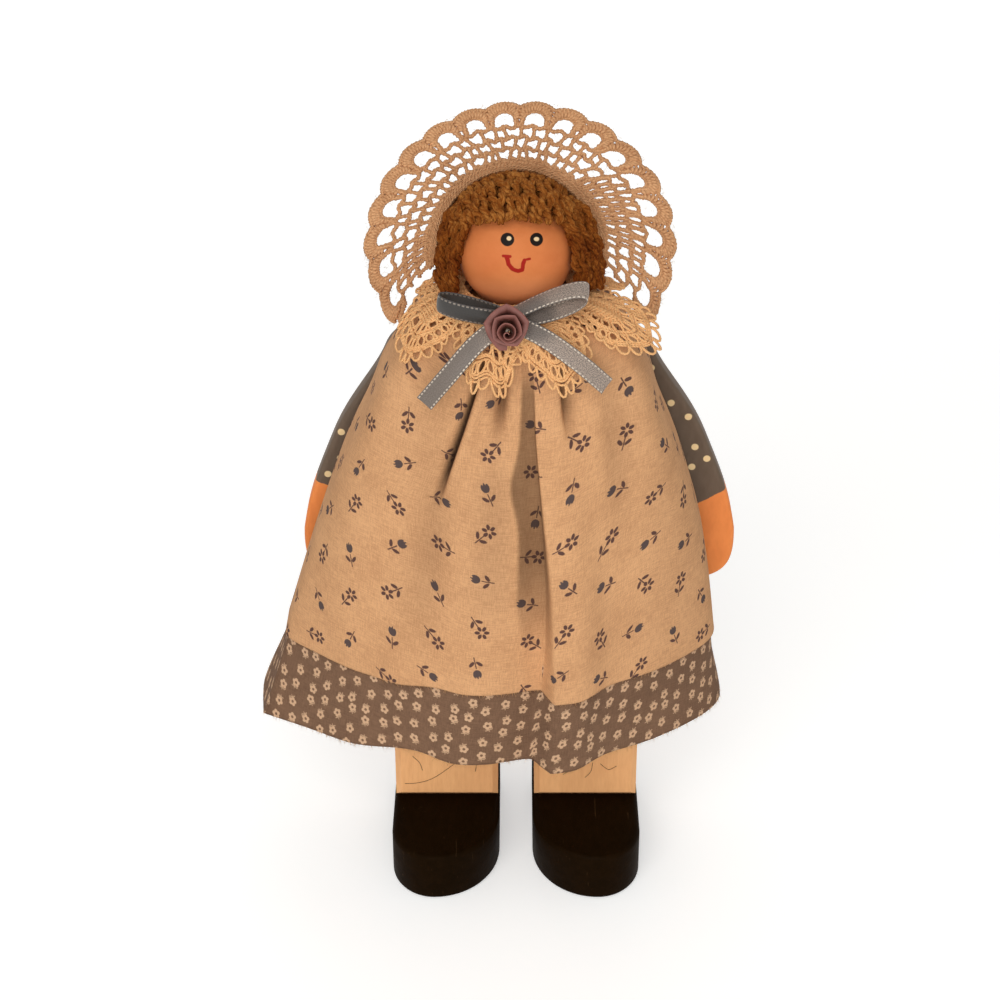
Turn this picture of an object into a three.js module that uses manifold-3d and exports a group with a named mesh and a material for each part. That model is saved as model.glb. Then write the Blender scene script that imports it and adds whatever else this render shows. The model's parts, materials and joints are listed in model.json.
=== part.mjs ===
// A dressed wooden doll: sawn and turned wood, screwed arms, gathered cloth and a crochet hat.
// Millimetres, +Z up. The face looks along -Y; "left" is the -X side.

import * as THREE from 'three';
import { mergeVertices } from 'three/addons/utils/BufferGeometryUtils.js';
import Module from 'manifold-3d';

const wasm = await Module();
wasm.setup();

// Clearance between neighbouring pieces
const FIT = 0.3;

// Body block: one planed board, slotted from below into two legs
const BOARD_WIDTH = 89;
const BOARD_THICKNESS = 38;
const BODY_LENGTH = 192;
const LEG_GAP = 13.4;
const LEG_SLOT_HEIGHT = 66;
const SHOULDER_HEIGHT = 48;
const NECK_WIDTH = 32;
const BODY_EASED_EDGE = 2;

// Shoes: rounded cut-outs of thinner board
const SHOE_THICKNESS = 19;
const SHOE_WIDTH = 39;
const SHOE_TOE_REACH = 35;
const SHOE_HEEL_REACH = 1;
const SHOE_TOE_TURN = 4;
const SHOE_INNER_ROUND = 27;
const SHOE_OUTER_ROUND = 18;
const SHOE_HEEL_ROUND = 7;
const SHOE_EASED_EDGE = 1.4;

// Shoe screws, countersunk into the sole
const SHOE_SCREW_DIAMETER = 4;
const SHOE_SCREW_HEAD = 8;
const SHOE_SCREW_LENGTH = 32;
const SHOE_SCREW_RECESS = 1;
const SHOE_SCREW_SPACING = 20;

// Head: a turned ball on a dowel, tilted back to look up
const HEAD_DIAMETER = 38.1;
const HEAD_TILT = 23;
const DOWEL_DIAMETER = 9.5;
const DOWEL_IN_BODY = 18;
const DOWEL_IN_HEAD = 14;
const DOWEL_CHAMFER = 0.8;

// Arms: flat cut-outs that turn on a screw behind the body
const ARM_THICKNESS = 9.5;
const ARM_LENGTH = 94.7;
const ARM_SHOULDER_RADIUS = 13;
const ARM_SLEEVE_OUT = 18.4;
const ARM_SLEEVE_IN = 9.5;
const ARM_HAND_OUT = 15.4;
const ARM_HAND_IN = 12;
const ARM_CUFF_AT = 66;
const ARM_HAND_AT = 79;
const ARM_EASED_EDGE = 1.3;
const ARM_TIP_ROUND = 4;
const ARM_REST_ANGLE = 22;
const ARM_PIVOT_SPACING = 70;
const ARM_PIVOT_SHIFT = 1.2;
const ARM_PIVOT_DROP = 33.3;

// Arm screws: round heads over washers
const ARM_SCREW_DIAMETER = 3.6;
const ARM_SCREW_HEAD = 7.4;
const ARM_SCREW_HEAD_HEIGHT = 2.6;
const ARM_SCREW_BITE = 15;
const ARM_SCREW_SLOT = 1;
const WASHER_DIAMETER = 10;
const WASHER_THICKNESS = 1;

// Cloth: dress and apron share their rows, so that one lies on the other
const CLOTH = 1;
const CLOTH_GAP = 0.5;
const BACK_EASE = 1;
const CLOTH_COLUMNS = 48;
const APRON_HALF_COLUMNS = 14;
const APRON_LAST_ROW = 8;
const SKIRT_BACK_FLARE = 0.34;
const SKIRT_BACK_SQUARE = 16;
const SKIRT_BACK_ROUND = 3;
const SWING_BEHIND = -0.7;
const SCREW_HOLE_EASE = 1.2;

// Folds of the dress and apron: depth, place as a turn from the front, and width of each
const WAVE_DEPTH = 1.2;
const WAVE_COUNT = 7;
const WAVE_PHASE = 0.8;
const PLEAT = { depth: 9.5, turn: 0.36, width: 0.19, sag: 1.5 };
const VALLEY = { depth: 3, turn: 0.05, slant: 0.001, width: 0.1 };
const LEFT_FOLD = { depth: 1.8, turn: -0.2, width: 0.18 };
const SIDE_FOLD = { depth: 3.5, turn: -0.66, width: 0.17 };
const CREASE = { depth: 1.9, drop: 32, reach: 20, turn: -0.29, slant: -0.0048, width: 0.13 };

// Rows of the dress below the neck edge, from shoulder to hem: drop below the top of the body block, how far
// the side and the front stand off the board, squareness of the ring on the left and on the right, how far it
// leans to the left, and how far its left side swings forward
const DRESS_NECK_RADIUS = 14.8;
const DRESS_NECK_RISE = 3.6;
const DRESS_ROWS = [
  { drop: -1.4, side: 6, front: 3, left: 5, right: 5, lean: 0, swing: 0 },
  { drop: 5.3, side: 5.5, front: 4, left: 5, right: 5, lean: 0.2, swing: 0 },
  { drop: 11.3, side: 4, front: 4.8, left: 5, right: 5, lean: 0.3, swing: 0 },
  { drop: 21.3, side: 4.5, front: 6, left: 5, right: 5, lean: 0.8, swing: 0 },
  { drop: 36.3, side: 5.8, front: 8, left: 4.5, right: 4.5, lean: 1.5, swing: 0 },
  { drop: 60, side: 14, front: 12, left: 2.5, right: 2.5, lean: 1.8, swing: 0 },
  { drop: 92, side: 23.4, front: 17.5, left: 1.9, right: 2, lean: 2.6, swing: 1 },
  { drop: 129, side: 31.8, front: 21.5, left: 1.3, right: 1.85, lean: 5.8, swing: 5 },
  { drop: 144, side: 35.3, front: 22.2, left: 1.15, right: 1.83, lean: 7.6, swing: 8.5 },
  { drop: 159, side: 39.5, front: 22.5, left: 1.05, right: 1.83, lean: 9.3, swing: 12 },
];

// Lace collar: a gathered ring in lobes, with a scalloped edge
const LACE = 1;
const COLLAR_COLUMNS = 84;
const COLLAR_SCALLOPS = 28;
const COLLAR_ROWS = 4;
const COLLAR_NECK_RADIUS = 17;
const COLLAR_NECK_RISE = 6.7;
const COLLAR_SIDE_REACH = 44.5;
const COLLAR_FRONT_REACH = 34.5;
const COLLAR_BACK_REACH = 27;
const COLLAR_FRONT_DROP = 25;
const COLLAR_SIDE_DROP = 9.5;
const COLLAR_SHIFT = 4;
const COLLAR_BACK_DROP = 16;
const COLLAR_LOBE = 3.2;
const COLLAR_LOBES = 6;
const COLLAR_SCALLOP = 1.6;
const COLLAR_NOTCH = { depth: 0.58, turn: 1.92, width: 0.4 };
const COLLAR_ROLL = 2.45;
const COLLAR_FRONT_SPREAD = 0.7;
const COLLAR_BACK_SPREAD = 0.6;

// Ribbon bow and rolled ribbon rose
const RIBBON_WIDTH = 6.35;
const RIBBON = 0.7;
const BOW_X = -2.5;
const BOW_LIFT = 1;
const BOW_TUCK = 6.6;
const BOW_LOOP_REACH = 24;
const BOW_LOOP_SWELL = 4;
const BOW_LOOP_BACK = 0.12;
const BOW_LOOP_LEAN = 0.1;
const BOW_LEFT_RISE = 0.12;
const BOW_RIGHT_RISE = 0.3;
const BOW_LEFT_TAIL = [[-1, -0.6, -1], [-10, -5, -6.5], [-19, -8.5, -16], [-27.3, -7.5, -27]];
const BOW_RIGHT_TAIL = [[1, -0.6, -1], [12, -5, -5], [23, -8.5, -12], [31.9, -7.5, -20.7]];
const BOW_KNOT_WIDTH = 8;
const BOW_KNOT_DEPTH = 4;
const ROSE_TURNS = 2.75;
const ROSE_INNER = 1.2;
const ROSE_OUTER = 7.2;
const ROSE_DEPTH = 7;
const ROSE_LEAN = 20;
const ROSE_CUP = 0.28;
const ROSE_FALL = 0.45;

// Hair: yarn glued to the ball
const HAIR_THICKNESS = 5.6;
const HAIR_STRAND = 0.8;
const HAIR_PART = 1.4;
const HAIR_FRINGE_LOW = 18;
const HAIR_CROWN = 84;
const HAIR_SIDE_LOW = -26;
const HAIR_NAPE = -6;
const HAIR_BEHIND_EAR = 108;
const HAIR_LEFT_FROM = 42;
const HAIR_RIGHT_FROM = 48;
const HAIR_SIDE_FULLNESS = 2.2;

// Crochet hat: openwork brim round the face, and a crown behind
const CROCHET = 1.2;
const HAT_BACK = 7;
const HAT_CROWN_EASE = 0.9;
const HAT_BRIM = 23.5;
const HAT_SHIFT = 1.5;
const HAT_DIP = 1.5;
const HAT_CURL = 12;
const HAT_CURL_FROM = 65;
const HAT_SCALLOPS = 18;
const HAT_SCALLOP_HEIGHT = 2.4;
const HAT_NET_ROWS = 3;
const HAT_BAND = 3.4;
const HAT_SCALLOP_BAND = 8;
const HAT_INNER_SPAN = 196;
const HAT_OUTER_SPAN = 241;
const HAT_WAVE = 1.2;
const HAT_WAVES = 7;
const HAT_NET_HOLE = 0.48;
const HAT_SCALLOP_HOLE = 0.5;
const HAT_POLE = 0.92;

// Values worked out from the driving dimensions

const TORSO_TOP = SHOE_THICKNESS + FIT + BODY_LENGTH;
const LEG_CENTRE = (BOARD_WIDTH + LEG_GAP) / 4;
const HEAD_RADIUS = HEAD_DIAMETER / 2;
const HEAD_Z = TORSO_TOP + FIT + HEAD_RADIUS;
const BACK_FACE = BOARD_THICKNESS / 2;
const DRESS_BACK = BACK_FACE + FIT + BACK_EASE + CLOTH / 2;
const ARM_FRONT = DRESS_BACK + CLOTH / 2 + FIT;
const ARM_BACK = ARM_FRONT + ARM_THICKNESS;
const ARM_PIVOT_Z = TORSO_TOP - ARM_PIVOT_DROP;
const FLARE_DROP = ARM_PIVOT_DROP + ARM_LENGTH * Math.cos(radians(ARM_REST_ANGLE)) + ARM_SHOULDER_RADIUS;
const HEM_DROP = DRESS_ROWS.at(-1).drop;
const HAIR_OUTER = HEAD_RADIUS + FIT + HAIR_THICKNESS;
const HAT_RADIUS = HAIR_OUTER + HAIR_STRAND + FIT + CROCHET / 2;
const HAT_CROWN_DEPTH = HAT_RADIUS - HAT_BACK + HAT_CROWN_EASE;
const BOW_Y = BOW_TUCK - COLLAR_FRONT_REACH;
const BOW_Z = TORSO_TOP + COLLAR_NECK_RISE + BOW_LIFT;

function armPivotX(side) {
  return ARM_PIVOT_SHIFT + (side * ARM_PIVOT_SPACING) / 2;
}

function radians(degrees) {
  return (degrees * Math.PI) / 180;
}

function smooth(from, to, value) {
  return THREE.MathUtils.smoothstep(value, from, to);
}

function bump(value, middle, width) {
  return Math.exp(-(((value - middle) / width) ** 2));
}

// Solids and sheets

function toSolid(geometry) {
  const bare = geometry.clone();
  bare.deleteAttribute('normal');
  bare.deleteAttribute('uv');
  const merged = mergeVertices(bare, 1e-4);
  return new wasm.Manifold(new wasm.Mesh({
    numProp: 3,
    vertProperties: new Float32Array(merged.attributes.position.array),
    triVerts: new Uint32Array(merged.index.array),
  }));
}

function toGeometry(solid) {
  const mesh = solid.getMesh();
  const geometry = new THREE.BufferGeometry();
  geometry.setAttribute('position', new THREE.BufferAttribute(mesh.vertProperties, 3));
  geometry.setIndex(new THREE.BufferAttribute(mesh.triVerts, 1));
  return geometry;
}

function cut(geometry, ...tools) {
  let solid = toSolid(geometry);
  for (const tool of tools) {
    solid = solid.subtract(toSolid(tool));
  }
  return toGeometry(solid);
}

function join(first, ...others) {
  let solid = toSolid(first);
  for (const other of others) {
    solid = solid.add(toSolid(other));
  }
  return toGeometry(solid);
}

// A closed body between two layers of points that share one list of triangles, walled along open edges
function shell(outer, inner, triangles) {
  const count = outer.length;
  const faces = [];
  const edges = new Map();
  for (const [a, b, c] of triangles) {
    faces.push(a, b, c, c + count, b + count, a + count);
    for (const [from, to] of [[a, b], [b, c], [c, a]]) {
      edges.set(`${from},${to}`, [from, to]);
    }
  }
  for (const [from, to] of edges.values()) {
    if (!edges.has(`${to},${from}`)) {
      faces.push(to, from, from + count, to, from + count, to + count);
    }
  }
  const positions = [...outer, ...inner].flatMap((point) => point.toArray());
  const geometry = new THREE.BufferGeometry();
  geometry.setAttribute('position', new THREE.Float32BufferAttribute(positions, 3));
  geometry.setIndex(faces);
  return geometry;
}

function pointNormals(points, triangles) {
  const geometry = new THREE.BufferGeometry();
  geometry.setAttribute('position', new THREE.Float32BufferAttribute(points.flatMap((p) => p.toArray()), 3));
  geometry.setIndex(triangles.flat());
  geometry.computeVertexNormals();
  return points.map((_, i) => new THREE.Vector3().fromBufferAttribute(geometry.attributes.normal, i));
}

function offset(points, normals, distance) {
  return points.map((point, i) => point.clone().addScaledVector(normals[i], distance));
}

function thicken(points, triangles, thickness) {
  const normals = pointNormals(points, triangles);
  return shell(offset(points, normals, thickness / 2), offset(points, normals, -thickness / 2), triangles);
}

// Triangles of a grid of rows, numbered row by row; a closed grid joins its last column to its first
function gridTriangles(rows, columns, closed) {
  const triangles = [];
  const spans = closed ? columns : columns - 1;
  for (let row = 0; row < rows - 1; row += 1) {
    for (let column = 0; column < spans; column += 1) {
      const next = (column + 1) % columns;
      const a = row * columns + column;
      const b = row * columns + next;
      const c = (row + 1) * columns + next;
      const d = (row + 1) * columns + column;
      triangles.push([a, d, c], [a, c, b]);
    }
  }
  return triangles;
}

function cylinder(diameter, length, sides = 20) {
  return new THREE.CylinderGeometry(diameter / 2, diameter / 2, length, sides).rotateX(Math.PI / 2);
}

function revolve(points, sides = 20) {
  const profile = points.map(([radius, height]) => new THREE.Vector2(radius, height));
  return new THREE.LatheGeometry(profile, sides).rotateX(Math.PI / 2);
}

// A board cut to an outline, centred on its thickness, with eased edges
function board(outline, thickness, eased, curveSegments) {
  return new THREE.ExtrudeGeometry(outline, {
    depth: thickness - 2 * eased,
    bevelThickness: eased,
    bevelSize: eased,
    bevelOffset: -eased,
    bevelSegments: 1,
    curveSegments,
  }).translate(0, 0, eased - thickness / 2);
}

// Screws

function shoeScrewProfile(ease) {
  const head = SHOE_SCREW_HEAD / 2 + ease;
  const shank = SHOE_SCREW_DIAMETER / 2 + ease;
  const tip = SHOE_SCREW_LENGTH + ease;
  return [
    [0, 0],
    [head, 0],
    [shank, head - shank],
    [shank, tip - shank],
    [0, tip],
  ];
}

function shoeScrew(ease = 0) {
  return revolve(shoeScrewProfile(ease), 10);
}

// The same screw grown by its clearance and open to below the sole, for cutting its seat
function shoeScrewSeat() {
  const mouth = SHOE_SCREW_HEAD / 2 + FIT;
  const seat = [[0, -2 * SHOE_SCREW_RECESS], [mouth, -2 * SHOE_SCREW_RECESS]];
  return revolve([...seat, ...shoeScrewProfile(FIT).slice(1)], 10);
}

const ARM_SCREW_SEAT = ARM_BACK + FIT + WASHER_THICKNESS + FIT;
const ARM_SCREW_TIP = BACK_FACE - ARM_SCREW_BITE;

// Lies along Y with its round head at the back
function armScrew() {
  const shank = ARM_SCREW_DIAMETER / 2;
  const length = ARM_SCREW_SEAT - ARM_SCREW_TIP;
  const dome = [];
  for (let step = 0; step <= 4; step += 1) {
    const turn = (step / 4) * (Math.PI / 2);
    dome.push([(ARM_SCREW_HEAD / 2) * Math.cos(turn), ARM_SCREW_HEAD_HEIGHT * Math.sin(turn)]);
  }
  const profile = [[0, -length], [shank, -length + shank * 2], [shank, 0], ...dome.slice(0, -1)];
  profile.push([0, ARM_SCREW_HEAD_HEIGHT]);
  const slot = new THREE.BoxGeometry(ARM_SCREW_SLOT, ARM_SCREW_HEAD_HEIGHT, ARM_SCREW_HEAD * 2);
  slot.translate(0, ARM_SCREW_HEAD_HEIGHT, 0);
  const turned = revolve(profile, 16).rotateX(-Math.PI / 2);
  return cut(turned, slot);
}

function washer() {
  const inside = ARM_SCREW_DIAMETER / 2 + FIT;
  const outside = WASHER_DIAMETER / 2;
  const half = WASHER_THICKNESS / 2;
  const ring = [[inside, -half], [outside, -half], [outside, half], [inside, half], [inside, -half]];
  return revolve(ring, 16).rotateX(-Math.PI / 2);
}

// Wooden pieces

function bodyOutline() {
  const half = BOARD_WIDTH / 2;
  const neck = NECK_WIDTH / 2;
  const slope = BODY_LENGTH - SHOULDER_HEIGHT;
  const outline = new THREE.Shape();
  outline.moveTo(half, 0);
  outline.lineTo(half, slope);
  outline.absellipse(neck, slope, half - neck, SHOULDER_HEIGHT, 0, Math.PI / 2, false);
  outline.lineTo(-neck, BODY_LENGTH);
  outline.absellipse(-neck, slope, half - neck, SHOULDER_HEIGHT, Math.PI / 2, Math.PI, false);
  outline.lineTo(-half, 0);
  outline.lineTo(-LEG_GAP / 2, 0);
  outline.lineTo(-LEG_GAP / 2, LEG_SLOT_HEIGHT);
  outline.absarc(0, LEG_SLOT_HEIGHT, LEG_GAP / 2, Math.PI, 0, true);
  outline.lineTo(LEG_GAP / 2, 0);
  return outline;
}

function shoeScrewPlaces(side) {
  return [-1, 1].map((end) => new THREE.Vector3(side * LEG_CENTRE, (end * SHOE_SCREW_SPACING) / 2, 0));
}

function bodyBlock() {
  const block = board(bodyOutline(), BOARD_THICKNESS, BODY_EASED_EDGE, 4).rotateX(Math.PI / 2);
  block.translate(0, 0, SHOE_THICKNESS + FIT);
  const dowelHole = cylinder(DOWEL_DIAMETER + 2 * FIT, 2 * (DOWEL_IN_BODY + FIT));
  dowelHole.translate(0, 0, TORSO_TOP);
  const holes = [dowelHole];
  for (const side of [-1, 1]) {
    const pilot = cylinder(ARM_SCREW_DIAMETER + 2 * FIT, 2 * (ARM_SCREW_BITE + FIT), 12);
    pilot.rotateX(Math.PI / 2).translate(armPivotX(side), BACK_FACE, ARM_PIVOT_Z);
    holes.push(pilot);
    for (const place of shoeScrewPlaces(side)) {
      holes.push(shoeScrew(FIT).translate(place.x, place.y, SHOE_SCREW_RECESS));
    }
  }
  return cut(block, ...holes);
}

// The tip of the toe lies towards the outer side, and the inner side rounds off sooner
function shoeOutline(side) {
  const half = SHOE_WIDTH / 2;
  const heel = BACK_FACE + SHOE_HEEL_REACH;
  const toe = -BACK_FACE - SHOE_TOE_REACH;
  const round = SHOE_HEEL_ROUND;
  const tip = side * SHOE_TOE_TURN;
  const leftRound = side > 0 ? SHOE_INNER_ROUND : SHOE_OUTER_ROUND;
  const rightRound = side > 0 ? SHOE_OUTER_ROUND : SHOE_INNER_ROUND;
  const outline = new THREE.Shape();
  outline.moveTo(half, toe + rightRound);
  outline.lineTo(half, heel - round);
  outline.absarc(half - round, heel - round, round, 0, Math.PI / 2, false);
  outline.lineTo(round - half, heel);
  outline.absarc(round - half, heel - round, round, Math.PI / 2, Math.PI, false);
  outline.lineTo(-half, toe + leftRound);
  outline.absellipse(tip, toe + leftRound, half + tip, leftRound, Math.PI, 1.5 * Math.PI, false);
  outline.absellipse(tip, toe + rightRound, half - tip, rightRound, 1.5 * Math.PI, 2 * Math.PI, false);
  return outline;
}

function shoe(side) {
  const sole = board(shoeOutline(side), SHOE_THICKNESS, SHOE_EASED_EDGE, 5);
  sole.translate(side * LEG_CENTRE, 0, SHOE_THICKNESS / 2);
  const seats = shoeScrewPlaces(side).map((place) => (
    shoeScrewSeat().translate(place.x, place.y, SHOE_SCREW_RECESS)
  ));
  return cut(sole, ...seats);
}

// The arm hangs down from its pivot at the origin; side is -1 or 1
function armOutline(side) {
  const outline = new THREE.Shape();
  const curve = (points) => outline.bezierCurveTo(...points.flatMap(([out, down]) => [side * out, -down]));
  const outward = ARM_SLEEVE_OUT;
  const middle = ARM_CUFF_AT / 2;
  outline.moveTo(-side * ARM_SHOULDER_RADIUS, 0);
  outline.absarc(0, 0, ARM_SHOULDER_RADIUS, side > 0 ? Math.PI : 0, side > 0 ? 0 : Math.PI, side > 0);
  const tip = ARM_LENGTH - ARM_TIP_ROUND;
  curve([[ARM_SHOULDER_RADIUS, middle / 3], [outward, middle * 0.7], [outward, middle * 1.2]]);
  curve([[outward, ARM_CUFF_AT * 0.9], [outward, ARM_CUFF_AT], [ARM_HAND_OUT, ARM_HAND_AT]]);
  curve([[ARM_HAND_OUT - ARM_TIP_ROUND, tip], [ARM_HAND_OUT / 2, ARM_LENGTH], [0, ARM_LENGTH]]);
  curve([[-ARM_HAND_IN / 2, ARM_LENGTH], [-ARM_HAND_IN, tip], [-ARM_HAND_IN, ARM_HAND_AT]]);
  curve([[-ARM_HAND_IN, ARM_CUFF_AT], [-ARM_SLEEVE_IN, ARM_CUFF_AT], [-ARM_SLEEVE_IN, middle * 1.5]]);
  curve([[-ARM_SLEEVE_IN, middle], [-ARM_SHOULDER_RADIUS, middle / 2], [-ARM_SHOULDER_RADIUS, 0]]);
  return outline;
}

function arm(side) {
  const blank = board(armOutline(side), ARM_THICKNESS, ARM_EASED_EDGE, 6).rotateX(Math.PI / 2);
  const bore = cylinder(ARM_SCREW_DIAMETER + 2 * FIT, ARM_THICKNESS * 2, 16).rotateX(Math.PI / 2);
  return cut(blank, bore);
}

function headBall() {
  const ball = new THREE.SphereGeometry(HEAD_RADIUS, 24, 14).rotateX(Math.PI / 2);
  const bore = cylinder(DOWEL_DIAMETER + 2 * FIT, HEAD_RADIUS);
  bore.translate(0, 0, DOWEL_IN_HEAD + FIT - HEAD_RADIUS * 1.5);
  return cut(ball, bore);
}

function neckDowel() {
  const radius = DOWEL_DIAMETER / 2;
  const low = -DOWEL_IN_BODY;
  const high = FIT + DOWEL_IN_HEAD;
  return revolve([
    [0, low],
    [radius - DOWEL_CHAMFER, low],
    [radius, low + DOWEL_CHAMFER],
    [radius, high - DOWEL_CHAMFER],
    [radius - DOWEL_CHAMFER, high],
    [0, high],
  ]);
}

// Cloth

// Point of a rounded-square ring: side, front and back are its half sizes, turn 0 faces front, and squares
// are its squareness on the left and right of the front, and behind
function ringPoint(turn, side, front, back, squares) {
  const spread = Math.sqrt(side / front);
  const angle = Math.atan2(spread * Math.sin(turn), Math.cos(turn));
  const ahead = Math.cos(angle) >= 0;
  const rightward = (1 + Math.sin(angle)) / 2;
  const power = ahead ? THREE.MathUtils.lerp(squares[0], squares[1], rightward) : squares[2];
  const depth = ahead ? front : back;
  const across = (Math.abs(Math.sin(angle)) / side) ** power;
  const along = (Math.abs(Math.cos(angle)) / depth) ** power;
  const radius = (across + along) ** (-1 / power);
  return new THREE.Vector2(radius * Math.sin(angle), -radius * Math.cos(angle));
}

// Outward displacement of the dress and apron: soft waves, a pleat beside the middle with a valley to its
// left, two fuller folds on the left, and a slanting crease below the collar; behind, waves near the hem only
function fold(turn, drop) {
  const growth = smooth(SHOULDER_HEIGHT / 2, HEM_DROP, drop);
  const behind = Math.cos(turn) < 0;
  const free = behind ? smooth(FLARE_DROP, HEM_DROP, drop) : growth;
  const waves = WAVE_DEPTH * free * Math.cos(WAVE_COUNT * turn + WAVE_PHASE);
  if (behind) {
    return waves;
  }
  const apronHem = DRESS_ROWS[APRON_LAST_ROW - 1].drop;
  const pleat = PLEAT.depth * growth * bump(turn, PLEAT.turn, PLEAT.width);
  const valley = VALLEY.depth * smooth(0, apronHem / 2, drop);
  const left = LEFT_FOLD.depth * growth * bump(turn, LEFT_FOLD.turn, LEFT_FOLD.width);
  const side = SIDE_FOLD.depth * growth * (1 - smooth(apronHem, HEM_DROP, drop));
  const crease = CREASE.depth * bump(drop, CREASE.drop, CREASE.reach);
  return waves + pleat + left
    + side * bump(turn, SIDE_FOLD.turn, SIDE_FOLD.width)
    - valley * bump(turn, VALLEY.turn + VALLEY.slant * drop, VALLEY.width)
    - crease * bump(turn, CREASE.turn + CREASE.slant * drop, CREASE.width);
}

// Half width of the body block at a drop below its top
function bodyHalfWidth(drop) {
  const neck = NECK_WIDTH / 2;
  const below = THREE.MathUtils.clamp(drop, 0, SHOULDER_HEIGHT);
  const slope = Math.sqrt(1 - (1 - below / SHOULDER_HEIGHT) ** 2);
  return neck + (BOARD_WIDTH / 2 - neck) * slope;
}

function clothTurn(column) {
  return Math.PI * ((2 * column) / CLOTH_COLUMNS - 1);
}

function neckEdge() {
  return Array.from({ length: CLOTH_COLUMNS }, (_, column) => {
    const turn = clothTurn(column);
    const height = TORSO_TOP + DRESS_NECK_RISE;
    return new THREE.Vector3(DRESS_NECK_RADIUS * Math.sin(turn), -DRESS_NECK_RADIUS * Math.cos(turn), height);
  });
}

function dressRow(row) {
  const flare = SKIRT_BACK_FLARE * Math.max(0, row.drop - FLARE_DROP);
  const side = bodyHalfWidth(row.drop) + row.side;
  const front = BACK_FACE + row.front;
  const squares = [row.left, row.right, Math.max(SKIRT_BACK_ROUND, SKIRT_BACK_SQUARE - flare)];
  const sag = PLEAT.sag * smooth(SHOULDER_HEIGHT, HEM_DROP, row.drop);
  return Array.from({ length: CLOTH_COLUMNS }, (_, column) => {
    const turn = clothTurn(column);
    const place = ringPoint(turn, side, front, DRESS_BACK + flare, squares);
    place.setLength(place.length() + fold(turn, row.drop));
    const swing = row.swing * smooth(0, 1, -Math.sin(turn)) * smooth(SWING_BEHIND, 0, Math.cos(turn));
    const height = TORSO_TOP - row.drop - sag * bump(turn, PLEAT.turn, PLEAT.width);
    return new THREE.Vector3(place.x - row.lean, place.y - swing, height);
  });
}

const dressMiddle = [...neckEdge(), ...DRESS_ROWS.flatMap(dressRow)];
const dressTriangles = gridTriangles(DRESS_ROWS.length + 1, CLOTH_COLUMNS, true);

function dress() {
  const cloth = thicken(dressMiddle, dressTriangles, CLOTH);
  const holes = [-1, 1].map((side) => {
    const hole = cylinder(ARM_SCREW_DIAMETER + 2 * SCREW_HOLE_EASE, 4 * (CLOTH + BACK_EASE), 10);
    return hole.rotateX(Math.PI / 2).translate(armPivotX(side), DRESS_BACK, ARM_PIVOT_Z);
  });
  return cut(cloth, ...holes);
}

// The apron lies on the front of the dress and curls a little past its sides
function apron() {
  const normals = pointNormals(dressMiddle, dressTriangles);
  const lifted = offset(dressMiddle, normals, CLOTH + CLOTH_GAP);
  const first = CLOTH_COLUMNS / 2 - APRON_HALF_COLUMNS;
  const width = 2 * APRON_HALF_COLUMNS + 1;
  const points = [];
  for (let row = 0; row <= APRON_LAST_ROW; row += 1) {
    const start = row * CLOTH_COLUMNS + first;
    points.push(...lifted.slice(start, start + width));
  }
  return thicken(points, gridTriangles(APRON_LAST_ROW + 1, width, false), CLOTH);
}

// Ring of lace from the neck outwards: it rolls over and hangs lower in front, stands off the shoulders in
// lobes, reaches further to the right, and is notched behind the shoulders where the hat comes down
function collar() {
  const points = [];
  for (let row = 0; row < COLLAR_ROWS; row += 1) {
    const out = row / (COLLAR_ROWS - 1);
    for (let column = 0; column < COLLAR_COLUMNS; column += 1) {
      const turn = Math.PI * ((2 * column) / COLLAR_COLUMNS - 1);
      const facing = Math.max(0, Math.cos(turn));
      const behind = Math.max(0, -Math.cos(turn));
      const notch = bump(Math.abs(turn), COLLAR_NOTCH.turn, COLLAR_NOTCH.width);
      const reach = out * (1 - COLLAR_NOTCH.depth * notch * out);
      const scallop = Math.abs(Math.sin((COLLAR_SCALLOPS / 2) * turn));
      const edge = row === COLLAR_ROWS - 1 ? COLLAR_SCALLOP * scallop : 0;
      const lobe = COLLAR_LOBE * out * out * facing * Math.cos(COLLAR_LOBES * turn);
      const neck = COLLAR_NECK_RADIUS;
      const back = neck + (COLLAR_BACK_REACH - neck) * reach ** COLLAR_BACK_SPREAD;
      const front = neck + (COLLAR_FRONT_REACH - neck) * reach ** COLLAR_FRONT_SPREAD;
      const side = neck + (COLLAR_SIDE_REACH - neck) * reach;
      const place = ringPoint(turn, side, front, back, [2 + reach, 2 + reach, 2 + 2 * reach]);
      place.setLength(place.length() + lobe + edge);
      const level = COLLAR_SIDE_DROP * Math.sin(turn) ** 2;
      const drop = level + COLLAR_FRONT_DROP * facing ** 2 + COLLAR_BACK_DROP * behind ** 2;
      const height = TORSO_TOP + COLLAR_NECK_RISE - drop * reach ** COLLAR_ROLL - edge * facing;
      points.push(new THREE.Vector3(place.x + COLLAR_SHIFT * reach ** 2, place.y, height));
    }
  }
  return thicken(points, gridTriangles(COLLAR_ROWS, COLLAR_COLUMNS, true), LACE);
}

// Ribbon

// A strip of ribbon along a path of middle points, its width standing along the given direction
function ribbonStrip(path, width, direction) {
  const points = [];
  for (const middle of path) {
    points.push(middle.clone().addScaledVector(direction, width / 2));
    points.push(middle.clone().addScaledVector(direction, -width / 2));
  }
  return thicken(points, gridTriangles(path.length, 2, false), RIBBON);
}

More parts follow.
